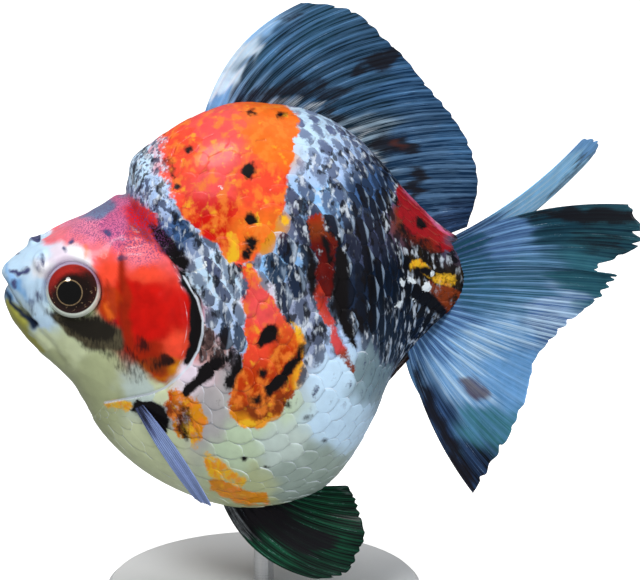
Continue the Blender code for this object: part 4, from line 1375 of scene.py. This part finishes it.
def ring_spacing(count):
    """u of each ring of the skin: close together on the head, wider under the scales."""
    share = np.linspace(0, 1, count)
    on_head = share / HEAD_RINGS * HEAD_END
    behind = HEAD_END + (share - HEAD_RINGS) / (1 - HEAD_RINGS) * (LAST_RIB - HEAD_END)
    return np.where(share < HEAD_RINGS, on_head, behind)


def flank_length(u):
    """Distance along the side of the body to each u, in millimetres."""
    line = body_surface(u, 0.25)
    steps = np.linalg.norm(np.diff(line, axis=0), axis=-1)
    return np.concatenate([[0], np.cumsum(steps)])


NOSE_REACH, REAR_REACH = 0.25, 0.8  # how far the skin's tips stand beyond its end rings


class RYUKIN_OT_skin(bpy.types.Operator):
    """Lay one skin over the head, the trunk and the tail stem"""

    bl_idname = "ryukin.skin"
    bl_label = "Skin"

    def execute(self, context):
        looks = context.scene.ryukin_hide
        u = ring_spacing(looks.rings)
        turn = np.arange(looks.round) / looks.round
        rings = hide_surface(u[:, None], turn[None, :], -looks.coat_depth / MM)
        tips = [rings[0].mean(0) + (-NOSE_REACH, 0, 0), rings[-1].mean(0) + (REAR_REACH, 0, 0)]
        points, quads, triangles, row, column = capped_tube(rings, tips)
        length = flank_length(u)
        uv = tube_map(0.01 + 0.98 * length / length[-1], looks.round, row, column)
        material = HideFinish("wet hide", scaled=False).material
        made = make_piece("skin", points, quads, triangles, uv, hide_attributes(points), material)
        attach(made, "root")
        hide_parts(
            "head", "lower_jaw", "gill_cover_left", "gill_cover_right", "trunk", "tail_stem"
        )
        return {"FINISHED"}


FIRST_SCALES = 5.2  # u where the columns of scales start, under the head's edge


def scale_columns(pitch, tail_pitch):
    """u of each column of scales and the columns' spacing in u there."""
    u = np.linspace(FIRST_SCALES, LAST_RIB, 900)
    length = flank_length(u)
    places = [0.5]
    while places[-1] < length[-1] - 1.0:
        share = places[-1] / length[-1]
        places.append(places[-1] + pitch + (tail_pitch - pitch) * ease(share, 0.45, 0.9))
    columns = np.interp(places, length, u)
    return columns, np.gradient(columns)


PLATE_ROWS, PLATE_COLUMNS = 9, 9  # points along and across one scale
MIDDLE_ROW, MIDDLE_COLUMN, HEART_ROW = 4, 4, 5
HALF_WIDTH = 0.58  # half of a scale's width, in rows of scales
HEART_PLACE, HEART_LENGTH, HEART_WIDTH = 0.70, 0.18, 0.36  # a scale's dark middle, in shares of it
ROOT_DEPTH, SCALE_CROWN, SCALE_TILT = 0.20, 0.05, 0.12
PATCH = 0.85  # a scale's patch on the map, as a share of the space there is for it


def scale_roots(side, cell):
    """The roots of one side's scales: u, turn, the columns' spacing in u, a number from 0 to 1
    that each scale keeps as its luck, and the place on the flank."""
    sizes = bpy.context.scene.ryukin_scales
    columns, spacing = scale_columns(sizes.pitch / MM, sizes.tail_pitch / MM)
    i, j = np.meshgrid(np.arange(len(columns)), np.arange(sizes.rows // 2), indexing="ij")
    i, j = i.ravel(), j.ravel()
    spacing = spacing[i]
    keys = np.stack([i, j, np.full_like(i, side + 2)], -1)
    luck = chance(keys, 21)
    u = columns[i] + (chance(keys, 22) - 0.5) * 0.16 * spacing
    turn = (j + 0.5 * (i % 2)) * cell + (0.5 if side > 0 else 0.0)
    turn = turn + (chance(keys, 23) - 0.5) * 0.14 * cell
    place = flank_place(body_surface(u, turn))
    keep = within(place, HEAD_OUTLINE) < 0.9
    return [values[keep] for values in (u, turn, spacing, luck, place)]


def scale_rise(s, t, s_round, luck, place):
    """How high each point of each scale lies over the skin."""
    smooth = ease(place[:, 0], -22, -4) * 0.85 + 0.15
    smooth = np.maximum(smooth, ease(place[:, 1], 60, 70))
    smooth = (smooth * (1 - 0.92 * ease(within(place, SADDLE), -1, 3)))[:, None, None]
    lift = bpy.context.scene.ryukin_scales.lift / MM * smooth
    rise = -ROOT_DEPTH + lift * s_round**1.15
    rise = rise + SCALE_CROWN * (1 - t * t) * ease(s, 0, 0.5) * smooth
    return rise + SCALE_TILT * (luck[:, None, None] - 0.5) * s * smooth


def scale_map(side, u, turn, spacing, row, column, cell):
    """Each scale's patch, at its root's place on an unwrap of one flank."""
    ruler = np.linspace(0, LAST_RIB, 600)
    share = flank_length(ruler) / flank_length(ruler)[-1]
    run = np.interp(u, ruler, share)
    run_pitch = np.maximum(np.interp(u + spacing, ruler, share) - run, 0.02)
    local_u = (column / (PLATE_COLUMNS - 1) - 0.5) * cell * PATCH
    local_v = row / (PLATE_ROWS - 1) - 0.5
    round_side = (turn - (0.5 if side > 0 else 0.0))[:, None, None]
    map_u = 0.03 + 0.94 * 2 * (round_side + local_u[None])
    map_v = 0.02 + 0.96 * (run[:, None, None] + local_v[None] * (run_pitch * PATCH)[:, None, None])
    return np.stack([np.broadcast_to(map_u, map_v.shape), map_v], -1).reshape(-1, 2)


def scale_plates(side):
    """The scales of one side, -1 left or +1 right: points, faces, maps and attributes."""
    sizes = bpy.context.scene.ryukin_scales
    cell = 1 / sizes.rows
    u, turn, spacing, luck, place = scale_roots(side, cell)
    s = np.linspace(0, 1, PLATE_ROWS)[None, :, None]
    t = np.linspace(-1, 1, PLATE_COLUMNS)[None, None, :]
    s_round = s * (1 - 0.05 * t * t * s) + np.zeros_like(u)[:, None, None]
    half = HALF_WIDTH * np.sqrt(1 - 0.98 * np.clip(s / 0.5 - 1, 0, 1) ** 2)
    half = half * (0.72 + 0.28 * ease(s, 0.0, 0.3))
    at_u = u[:, None, None] + (s_round - 0.55) * sizes.overlap * spacing[:, None, None]
    at_u = np.clip(at_u, 4.5, LAST_RIB)
    at_turn = turn[:, None, None] + t * half * cell
    tucked = within(flank_place(body_surface(at_u, at_turn)), HEAD_OUTLINE)
    rise = scale_rise(s, t, s_round, luck, place) - 1.2 * ease(tucked, -0.3, 0.6)
    middle = hide_surface(at_u, at_turn, rise - 0.05)
    outward = body_outward(at_u, at_turn)
    thickness = np.full(middle.shape[1:3], sizes.thickness / MM)
    thickness[0], thickness[-1], thickness[:, 0], thickness[:, -1] = [0.5 * thickness[0, 0]] * 4
    half_thick = outward * (thickness / 2)[None, ..., None]
    points = np.stack([middle + half_thick, middle - half_thick], 1)
    shape = points.shape[:-1]
    _, quads, row, column, _ = closed_sheet(middle[0], outward[0], thickness)
    first = np.arange(len(u)) * 2 * PLATE_ROWS * PLATE_COLUMNS
    faces = (quads[None] + first[:, None, None]).reshape(-1, 4)
    uv = scale_map(side, u, turn, spacing, row, column, cell)
    heart = points[:, :1, HEART_ROW : HEART_ROW + 1, MIDDLE_COLUMN : MIDDLE_COLUMN + 1]
    hearts = np.broadcast_to(heart, points.shape).reshape(-1, 3)
    points = points.reshape(-1, 3)
    across = middle[:, MIDDLE_ROW, -1] - middle[:, MIDDLE_ROW, 0]
    along = middle[:, -1, MIDDLE_COLUMN] - middle[:, 0, MIDDLE_COLUMN]
    width, length = [np.linalg.norm(v, axis=-1)[:, None, None] for v in (across, along)]
    aside = np.abs(t) * half / HALF_WIDTH * width / 2
    behind = (s_round - HEART_PLACE) * length
    to_side = (1 - np.abs(t)) * half / HALF_WIDTH * width / 2
    own = {
        "along": s_round,
        "from_heart": np.hypot(behind / (HEART_LENGTH * length), aside / (HEART_WIDTH * width)),
        "brink": np.minimum(to_side, (1 - s_round) * length),
        "luck": luck[:, None, None],
    }
    attributes = hide_attributes(points, hearts)
    for name, values in own.items():
        attributes[name] = np.broadcast_to(values[:, None], shape).reshape(-1)
    return points, faces, uv, attributes


class RYUKIN_OT_scales(bpy.types.Operator):
    """Plate the body with overlapping scales"""

    bl_idname = "ryukin.scales"
    bl_label = "Scales"

    def execute(self, context):
        material = HideFinish("scale plates", scaled=True).material
        for name, side in (("scales_left", -1), ("scales_right", 1)):
            points, faces, uv, attributes = scale_plates(side)
            made = make_piece(name, points, faces, NO_TRIANGLES, uv, attributes, material)
            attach(made, "root")
        return {"FINISHED"}


GAZE_UP, GAZE_FORWARD = math.radians(12), math.radians(7)
PUPIL_SHIFT = (-0.5, -0.4)  # the pupil's centre from the eye's, forward and down
EYE_RINGS, EYE_ROUND = 60, 96
EYE_BACK = math.radians(150)  # how far round from its front the eyeball reaches
EYE_INSET = 0.15  # how much smaller it is than its solid
EYE_LIP = (4.85, 0.16, 0.35)  # radius, height and half width of the ridge round the iris
OFF_THE_FRONT = 6.0  # the gap given to what lies behind the eyeball's middle


class RYUKIN_OT_eyes(bpy.types.Operator):
    """Make the two eyeballs, each with a ridge round its iris"""

    bl_idname = "ryukin.eyes"
    bl_label = "Eyes"

    def execute(self, context):
        material = eye_finish("wet eye")
        for name, side in (("left", -1), ("right", 1)):
            self.make_eye(name, side, material)
        return {"FINISHED"}

    def make_eye(self, name, side, material):
        polar = np.linspace(0.02, 1.0, EYE_RINGS) ** 0.9 * EYE_BACK
        turn = np.arange(EYE_ROUND) / EYE_ROUND * 2 * math.pi
        lip = hump(EYE_RADIUS * np.sin(polar), *EYE_LIP)
        radius = EYE_RADIUS - EYE_INSET + np.where(polar < math.pi / 2, lip, 0)
        out = np.cos(polar) * radius
        away = (np.sin(polar) * radius)[:, None]
        x, z = away * np.cos(turn), away * np.sin(turn)
        rings = np.stack([x, np.broadcast_to(out[:, None], x.shape), z], -1)
        tips = [(0, out[0], 0), (0, out[-1], 0)]
        local, quads, triangles = capped_tube(rings, tips)[:3]
        quads, triangles = quads[:, ::-1], triangles[:, [0, 2, 1]]
        if side > 0:
            quads, triangles = quads[:, ::-1], triangles[:, ::-1]
        points = self.turned(local) * (1, side, 1) + np.array(EYE_PLACE) * (1, side, 1)
        x, z = local[:, 0], local[:, 2]
        pupil_x, pupil_z = PUPIL_SHIFT
        behind = local[:, 1] < 0
        attributes = {
            "gap": np.where(behind, OFF_THE_FRONT, np.hypot(x, z)),
            "pupil_gap": np.where(behind, OFF_THE_FRONT, np.hypot(x - pupil_x, z - pupil_z)),
            "up": z,
            "crescent": z * 0.85 - x * 0.5,
        }
        uv = 0.5 + 0.48 * self.chart(local, quads, triangles)
        made = make_piece(
            f"eyeball_{name}", points, quads, triangles, uv, attributes, material
        )
        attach(made, "root")
        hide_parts(f"eye_{name}")

    def turned(self, local):
        """The points of an eyeball, with its axis raised and turned forward."""
        up = np.array([[1, 0, 0], [0, math.cos(GAZE_UP), math.sin(GAZE_UP)]])
        up = np.vstack([up, np.cross(up[0], up[1])])
        cosine, sine = math.cos(GAZE_FORWARD), math.sin(GAZE_FORWARD)
        forward = np.array([[cosine, sine], [-sine, cosine]])
        raised = local @ up
        return np.concatenate([raised[:, :2] @ forward, raised[:, 2:]], 1)

    def chart(self, local, quads, triangles):
        """Each corner's place on a flat disc, by its angle from the eye's axis. A corner at
        the rear tip lies on the disc's edge, between its triangle's other two."""
        away = np.hypot(local[:, 0], local[:, 2])
        angle = np.arctan2(away, local[:, 1]) / math.pi
        across = np.maximum(away, 1e-6)
        disc = np.stack([local[:, 0] / across * angle, local[:, 2] / across * angle], -1)
        corners = np.concatenate([quads.reshape(-1), triangles.reshape(-1)])
        uv = disc[corners]
        rear = np.flatnonzero(corners == len(local) - 1)
        start = rear - (rear - quads.size) % 3
        others = sum(uv[start + step] for step in range(3)) - uv[rear]
        uv[rear] = unit(others)
        return uv


# Reference places on each kind of fin: a, b, the membrane's colour, the pale rays' colour and
# how strongly they show. The marks after them are strokes.
FIN_GROUNDS = {
    "dorsal": {
        "front foot": (-9.8, 105.0, "sky", "azure", 0.6),
        "front": (-7.2, 110.6, "ice", "snow", 0.4),
        "front mid": (-3.2, 117.2, "ice", "snow", 0.4),
        "front top": (1.0, 122.2, "azure", "ice", 0.6),
        "behind the front": (-3.4, 107.6, "navy", "azure", 0.5),
        "behind the strip": (-1.7, 111.8, "abyss", "azure", 0.45),
        "behind the middle": (1.0, 116.0, "teal", "sky", 0.6),
        "fore": (3.2, 112.6, "abyss", "sky", 0.45),
        "top fore": (4.6, 119.8, "abyss", "sky", 0.5),
        "top": (11.5, 121.0, "teal", "sky", 0.45),
        "upper": (16.0, 115.0, "abyss", "sky", 0.42),
        "foot": (6.0, 105.0, "abyss", "sky", 0.35),
        "mid": (20.0, 106.0, "abyss", "sky", 0.36),
        "mid foot": (18.0, 99.0, "abyss", "ice", 0.4),
        "edge": (29.0, 111.0, "indigo", "sky", 0.45),
        "rear": (31.0, 97.0, "indigo", "azure", 0.30),
        "rear edge": (40.0, 98.0, "indigo", "sky", 0.5),
        "low rear": (36.0, 88.0, "indigo", "azure", 0.28),
        "end": (40.0, 79.0, "navy", "steel", 0.5),
    },
    "tail": {
        "root top": (41.5, 76.5, "deep sea", "steel", 0.9),
        "root": (41.5, 69.0, "deep sea", "sky", 0.8),
        "root low": (36.5, 59.5, "steel", "azure", 0.8),
        "upper": (49.0, 78.0, "steel", "azure", 0.6),
        "upper edge": (60.0, 82.0, "teal", "deep sea", 0.8),
        "upper tip": (70.0, 79.0, "teal", "lagoon", 0.4),
        "mid": (52.0, 68.5, "deep sea", "azure", 0.55),
        "mid edge": (65.5, 69.0, "deep sea", "lagoon", 0.6),
        "rear": (58.0, 61.0, "steel", "ice", 0.8),
        "low": (45.0, 55.0, "sky", "ice", 0.9),
        "low edge": (52.0, 48.0, "sky", "azure", 0.6),
        "low mid": (41.5, 47.0, "sky", "ice", 0.7),
        "low front": (35.0, 41.0, "navy", "steel", 0.6),
        "low rear": (46.0, 37.5, "lagoon", "sky", 0.5),
        "low tip": (42.0, 31.0, "black", "steel", 0.5),
    },
    "far tail": {
        "root": (42.0, 79.0, "steel", "azure", 0.7),
        # Partly painted light: the strip's cyan is brightened to stand for light that it does not
        # get.
        "strip": (55.0, 87.0, "cyan", "ice", 0.6),
        "strip end": (62.0, 92.0, "cyan", "ice", 0.6),
        "tip": (68.0, 97.5, "sky", "azure", 0.6),
        "middle": (60.0, 76.0, "sky", "azure", 0.8),
        "low": (46.0, 58.0, "sky", "azure", 0.8),
    },
    "pectoral": {
        "root": (-25.0, 43.0, "slate", "periwinkle", 0.7),
        "middle": (-19.0, 36.0, "periwinkle", "pale blue", 0.6),
        "tip": (-13.0, 25.0, "periwinkle", "pale blue", 0.6),
    },
    "pelvic": {
        "root": (-3.0, 22.0, "black", "black", 0.5),
        "middle": (6.0, 17.0, "black", "moss", 0.5),
        "rear": (13.0, 19.0, "black", "moss", 0.8),
        "edge": (19.0, 18.0, "black", "moss", 0.5),
        "low": (4.0, 11.0, "black", "moss", 0.8),
        "tip": (9.0, 8.0, "black", "moss", 0.4),
    },
    "anal": {
        "root": (24.0, 52.0, "black", "navy", 0.4),
        "edge": (29.0, 56.0, "bark", "rust", 0.5),
    },
}
FIN_INK = {
    "dorsal": {
        "top": [(4.4, 123.2, 0.2), (7.6, 124.4, 0.6), 0.8],
        "foot": [
            (-4.0, 106.2, 1.0), (4.0, 107.2, 2.2), (12.0, 106.0, 2.0), (16.0, 102.6, 1.2), 0.8,
        ],
        "spot": [(17.0, 111.8, 0.8), (20.5, 112.8, 2.0), (25.0, 113.4, 1.5)],
        "rear spot": [(24.0, 96.6, 1.6), (28.6, 96.6, 2.1)],
        "rear foot": [(27.6, 90.4, 1.4), (31.2, 86.4, 1.5)],
    },
    "tail": {
        "top edge": [(55.0, 82.2, 0.6), (62.0, 82.4, 1.8), (75.0, 82.0, 1.8)],
        "tip": [(66.0, 77.0, 1.6), (73.0, 76.5, 1.4), 0.35],
        "lower front": [(30.0, 51.5, 0.7), (34.2, 42.0, 1.4), (38.6, 33.0, 1.3), (41.0, 29.0, 1.5)],
    },
    "far tail": {
        "tip": [(64.6, 94.0, 0.5), (66.0, 94.6, 0.6), 0.6],
        "edge": [(50.0, 79.4, 0.2), (60.0, 87.6, 0.3), (66.6, 93.2, 0.4), 0.8],
    },
    "pectoral": {"root": [(-26.0, 44.5, 1.4), (-23.5, 41.5, 1.0)]},
    "pelvic": {"body": [(0.0, 20.0, 3.0), (9.0, 15.0, 3.5)]},
    "anal": {"body": [(24.5, 52.0, 3.0)]},
}
FIN_RED = {
    "tail": {"spot": [(41.0, 48.4, 1.4), (42.8, 46.4, 2.2)]},
    "dorsal": {"rear spot": [(27.6, 96.8, 1.1)]},
}
FIN_FRINGE = {
    "dorsal": {
        "foot": [
            (-1.5, 103.2, 0.5), (5.0, 103.6, 0.9), (12.0, 101.4, 0.9), (18.0, 98.0, 0.8),
            (23.0, 92.6, 0.5),
        ],
    },
    "pelvic": {
        "top": [(11.0, 28.2, 0.6), (16.5, 26.4, 1.0), 0.5],
        "front": [(-7.0, 22.0, 0.3), (-2.8, 15.0, 0.3), 0.45],
    },
    "anal": {"edge": [(28.4, 51.6, 0.5), (30.6, 55.6, 0.8), 0.5]},
}


def fin_fields(kind, points, near_side, slide):
    """Colours and marks of a fin at its points, whose marks slide along the rays."""
    place = flank_place(points, near_side) + slide
    wander = drift(points, 3.0, 31)
    membrane, pale, streaks = blend_grounds(place + wander, FIN_GROUNDS[kind], 2)
    return {
        "membrane": membrane,
        "pale": pale,
        "streaks": streaks[..., 0],
        "ink": deepest_stroke(place + wander, FIN_INK[kind]),
        "red": deepest_stroke(place + wander, FIN_RED.get(kind, {})),
        "fringe": deepest_stroke(place + wander, FIN_FRINGE.get(kind, {})),
    }


RAGGEDNESS = {  # how unevenly a fin's rays end, as a share of their length
    "dorsal": 0.02,
    "tail": 0.045,
    "far tail": 0.012,
    "pectoral": 0.02,
    "pelvic": 0.03,
    "anal": 0.03,
}


RAY_COLUMNS, REACH_ROWS = 10, 62  # points between two rays, and from root to tip
BRANCHES = 3  # rays that each ray forks into
FORK_START, FORK_END = 0.2, 0.7  # where a ray's fork begins and is complete, from root to tip
NOTCH_DEPTH = 0.006  # how far every web draws in between its rays
ROOT_THICKNESS, TIP_THICKNESS = 1.25, 0.40  # shares of the set thickness


def wave(turns):
    """A wave that is 0 at whole turns and 1 half way between them."""
    return 0.5 + 0.5 * np.cos(2 * math.pi * (turns + 0.5))


def ray_noise(ray, size, seed):
    """Noise from -1 to 1 that changes from ray to ray only."""
    return ruffle(np.concatenate([ray, ray * 0], 1), size, seed)


def fin_length(ray, raggedness):
    """The length of a fin along each of its rays, as a share of its guide rays'."""
    notch = 1 - wave(ray)
    keys = np.floor(np.concatenate([ray, ray * 0], 1)).astype(int)
    tear = chance(keys, 41)[:, None] ** 3
    sway = 0.4 * ray_noise(ray, 2.3, 42) + 0.2 * ray_noise(ray, 0.3, 43)
    return 1 - NOTCH_DEPTH * notch - raggedness * tear * notch + raggedness * sway[:, None]


def fin_thickness(ray, reach):
    """A fin's thickness: thin webs between rays that fork half way out."""
    sizes = bpy.context.scene.ryukin_fins
    split = ease(reach, FORK_START, FORK_END)
    ridge = wave(ray) ** 4 * (1 - 0.6 * split) + wave(ray * BRANCHES) ** 3 * 0.45 * split
    web, bone = sizes.web_thickness / MM, sizes.ray_thickness / MM
    taper = ROOT_THICKNESS - (ROOT_THICKNESS - TIP_THICKNESS) * reach
    thickness = (web + (bone - web) * ridge) * taper
    thickness[:, -1] *= 0.5
    return thickness


def ray_slide(middle, ray, near_side):
    """How far each ray's marks slide along it, as a shift of a and b."""
    seen = flank_place(middle, near_side)
    along_ray = unit(seen[:, -1] - seen[:, 0])
    slip = 3.0 * ray_noise(ray, 0.31, 44) + 2.6 * ray_noise(ray, 1.3, 45)
    slide = (along_ray * slip[:, None])[:, None]
    return np.broadcast_to(slide, (*middle.shape[:2], 2)).reshape(-1, 2)


def make_fin(name, node, kind, fin, side, rays, root_run, material, near_side=False):
    """One fin as a closed, rayed sheet with a frayed edge. side is -1 left, +1 right, and
    root_run is how far its root runs into the body, as a share of its length."""
    across, along = rays * RAY_COLUMNS + 1, REACH_ROWS
    k = np.linspace(0, 1, across)[:, None]
    reach = np.linspace(0, 1, along)[None, :]
    ray = k * rays
    middle = fin_sheet(fin, k, -root_run + (fin_length(ray, RAGGEDNESS[kind]) + root_run) * reach)
    middle[..., 1] *= side
    outward = unit(np.cross(np.gradient(middle, axis=0), np.gradient(middle, axis=1)))
    sheet = closed_sheet(middle, outward, fin_thickness(ray, reach))
    points, quads, row, column, side_of = sheet
    map_u = 0.005 + 0.49 * row / (across - 1) + 0.5 * side_of
    map_v = 0.01 + 0.98 * column / (along - 1)
    uv = np.stack([map_u, map_v], -1)[:, ::-1].reshape(-1, 2)
    slide = ray_slide(middle, ray, near_side)
    attributes = fin_fields(kind, points, near_side, np.concatenate([slide, slide]))
    for field, values in (("ray", ray), ("reach", reach)):
        one_side = np.broadcast_to(values, middle.shape[:2]).reshape(-1)
        attributes[field] = np.concatenate([one_side, one_side])
    made = make_piece(name, points, quads[:, ::-1], NO_TRIANGLES, uv, attributes, material)
    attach(made, "root")
    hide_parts(node)


class RYUKIN_OT_fins(bpy.types.Operator):
    """Make the dorsal, tail, breast, belly and anal fins"""

    bl_idname = "ryukin.fins"
    bl_label = "Fins"

    def execute(self, context):
        material = fin_finish("rayed fin")
        large = (
            ("dorsal", "dorsal_fin", "dorsal", DORSAL, 1, 20, 0.03),
            ("tail_left", "tail_fin_left", "tail", TAIL_LEFT, -1, 26, 0.08),
            ("tail_right", "tail_fin_right", "far tail", TAIL_RIGHT, 1, 24, 0.08),
        )
        for fin in large:
            make_fin(*fin, material, near_side=True)
        for name, side in (("left", -1), ("right", 1)):
            small = (
                ("pectoral", PECTORAL, 9, 0.12),
                ("pelvic", PELVIC_LEFT if side < 0 else PELVIC_RIGHT, 14, 0.06),
                ("anal", ANAL, 7, 0.15),
            )
            for kind, fin, rays, root_run in small:
                node = f"{kind}_fin_{name}"
                make_fin(f"{kind}_{name}", node, kind, fin, side, rays, root_run, material)
        return {"FINISHED"}


class RYUKIN_OT_stand(bpy.types.Operator):
    """Give the stand its paint and its steel"""

    bl_idname = "ryukin.stand"
    bl_label = "Stand"

    def execute(self, context):
        paint, steel = paint_finish("satin paint"), steel_finish("steel rod")
        for node, material in (("stand_base", paint), ("stand_rod", steel)):
            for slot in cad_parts[node].material_slots:
                slot.material = material
        return {"FINISHED"}


CAMERA_TURN, CAMERA_RISE = math.radians(-8), math.radians(14)
CAMERA_AWAY = 0.6
CAMERA_TARGET = Vector((0.0116, 0.0, 0.0666))
LENS, SENSOR = 168.75, 36.0  # millimetres

FLOOR_PROFILE = (0.3, 1.0, 2.0)  # radii of the flat floor's rings, in metres
FLOOR_BEND, BEND_STEPS, WALL_HEIGHT = 0.8, 16, 3.0
FLOOR_ROUND = 96


class RYUKIN_OT_stage(bpy.types.Operator):
    """Set the floor, the soft lights and the camera"""

    bl_idname = "ryukin.stage"
    bl_label = "Stage"

    def execute(self, context):
        looks = context.scene.ryukin_stage
        self.make_floor(looks)
        self.make_light("key", (-0.45, -0.50, 0.95), 0.34, looks.key)
        for light in (
            self.make_light("fill", (0.35, -0.80, 0.05), 0.70, looks.fill),
            self.make_light("top", (0.10, 0.10, 0.80), 0.60, looks.top),
        ):
            light.visible_glossy = False
        world = bpy.data.worlds.new("white room")
        world.use_nodes = True
        sky = world.node_tree.nodes["Background"]
        sky.inputs["Color"].default_value = (1, 1, 1, 1)
        sky.inputs["Strength"].default_value = looks.sky
        context.scene.world = world
        context.scene.view_settings.view_transform = "Standard"
        self.make_camera(context)
        return {"FINISHED"}

    def make_floor(self, looks):
        """A floor that curves up into a backdrop all round, brighter far away."""
        finish = Finish("paper", Specular_IOR_Level=0.2)
        finish.shader.inputs["Emission Strength"].default_value = looks.glow
        fibre = finish.noise(2.0, 3)
        colour = finish.mix(fibre * 0.03, looks.floor, (0.9, 0.9, 0.9))
        far = finish.node("ShaderNodeVectorMath", {"operation": "LENGTH"}, {0: finish.place}, 1)
        shine = finish.mix(far.between(0.35, 1.5), (1.0, 1.0, 1.0), (1.8, 1.8, 1.8))
        finish.feed(Base_Color=colour, Emission_Color=shine, Roughness=0.7 + 0.1 * fibre)
        profile = [(away, 0.0) for away in FLOOR_PROFILE]
        edge = FLOOR_PROFILE[-1]
        for step in range(1, BEND_STEPS + 1):
            angle = step / BEND_STEPS * math.pi / 2
            out, up = math.sin(angle), 1 - math.cos(angle)
            profile.append((edge + FLOOR_BEND * out, FLOOR_BEND * up))
        profile.append((edge + FLOOR_BEND, WALL_HEIGHT))
        turns = FLOOR_ROUND
        around = [step / turns * 2 * math.pi for step in range(turns)]
        floor_z = CAD_BOX[0].z
        points = [(0.0, 0.0, floor_z)]
        for away, z in profile:
            points += [(away * math.cos(a), away * math.sin(a), floor_z + z) for a in around]
        faces = [(0, 1 + j, 1 + (j + 1) % turns) for j in range(turns)]
        for i in range(len(profile) - 1):
            inner, outer = 1 + i * turns, 1 + (i + 1) * turns
            for j in range(turns):
                following = (j + 1) % turns
                faces.append((inner + j, outer + j, outer + following, inner + following))
        mesh = bpy.data.meshes.new("floor")
        mesh.from_pydata(points, [], faces)
        mesh.shade_smooth()
        mesh.materials.append(finish.material)
        floor = bpy.data.objects.new("floor", mesh)
        floor.visible_diffuse = False
        floor.visible_glossy = False
        bpy.context.scene.collection.objects.link(floor)

    def make_light(self, name, place, size, watts):
        light = bpy.data.lights.new(name, "AREA")
        light.shape = "DISK"
        light.size = size
        light.energy = watts
        made = bpy.data.objects.new(name, light)
        made.location = place
        towards = CAMERA_TARGET - made.location
        made.rotation_euler = towards.to_track_quat("-Z", "Y").to_euler()
        bpy.context.scene.collection.objects.link(made)
        return made

    def make_camera(self, context):
        camera = bpy.data.cameras.new("camera")
        camera.lens = LENS
        camera.sensor_width = SENSOR
        camera.clip_start, camera.clip_end = 0.01, 20.0
        level = math.cos(CAMERA_RISE)
        back = Vector(
            (math.sin(CAMERA_TURN) * level, -math.cos(CAMERA_TURN) * level, math.sin(CAMERA_RISE))
        )
        made = bpy.data.objects.new("camera", camera)
        made.location = CAMERA_TARGET + back * CAMERA_AWAY
        made.rotation_euler = (-back).to_track_quat("-Z", "Y").to_euler()
        context.scene.collection.objects.link(made)
        context.scene.camera = made


OPERATORS = (
    RYUKIN_OT_stage,
    RYUKIN_OT_skin,
    RYUKIN_OT_scales,
    RYUKIN_OT_eyes,
    RYUKIN_OT_fins,
    RYUKIN_OT_stand,
)


class RYUKIN_PT_panel(bpy.types.Panel):
    bl_label = "Ryukin"
    bl_idname = "RYUKIN_PT_panel"
    bl_space_type = "VIEW_3D"
    bl_region_type = "UI"
    bl_category = "Ryukin"

    def draw(self, context):
        for operator in OPERATORS:
            self.layout.operator(operator.bl_idname)


SETTINGS = {
    "ryukin_hide": HideSettings,
    "ryukin_scales": ScaleSettings,
    "ryukin_eyes": EyeSettings,
    "ryukin_fins": FinSettings,
    "ryukin_stand": StandSettings,
    "ryukin_stage": StageSettings,
}


def register():
    for group in SETTINGS.values():
        bpy.utils.register_class(group)
    for operator in (*OPERATORS, RYUKIN_PT_panel):
        bpy.utils.register_class(operator)
    for name, group in SETTINGS.items():
        setattr(bpy.types.Scene, name, bpy.props.PointerProperty(type=group))


def unregister():
    for name in SETTINGS:
        delattr(bpy.types.Scene, name)
    for made in (RYUKIN_PT_panel, *reversed(OPERATORS), *SETTINGS.values()):
        bpy.utils.unregister_class(made)


def main():
    register()
    for operator in OPERATORS:
        family, action = operator.bl_idname.split(".")
        getattr(getattr(bpy.ops, family), action)()
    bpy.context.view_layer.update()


if __name__ == "__main__":
    main()
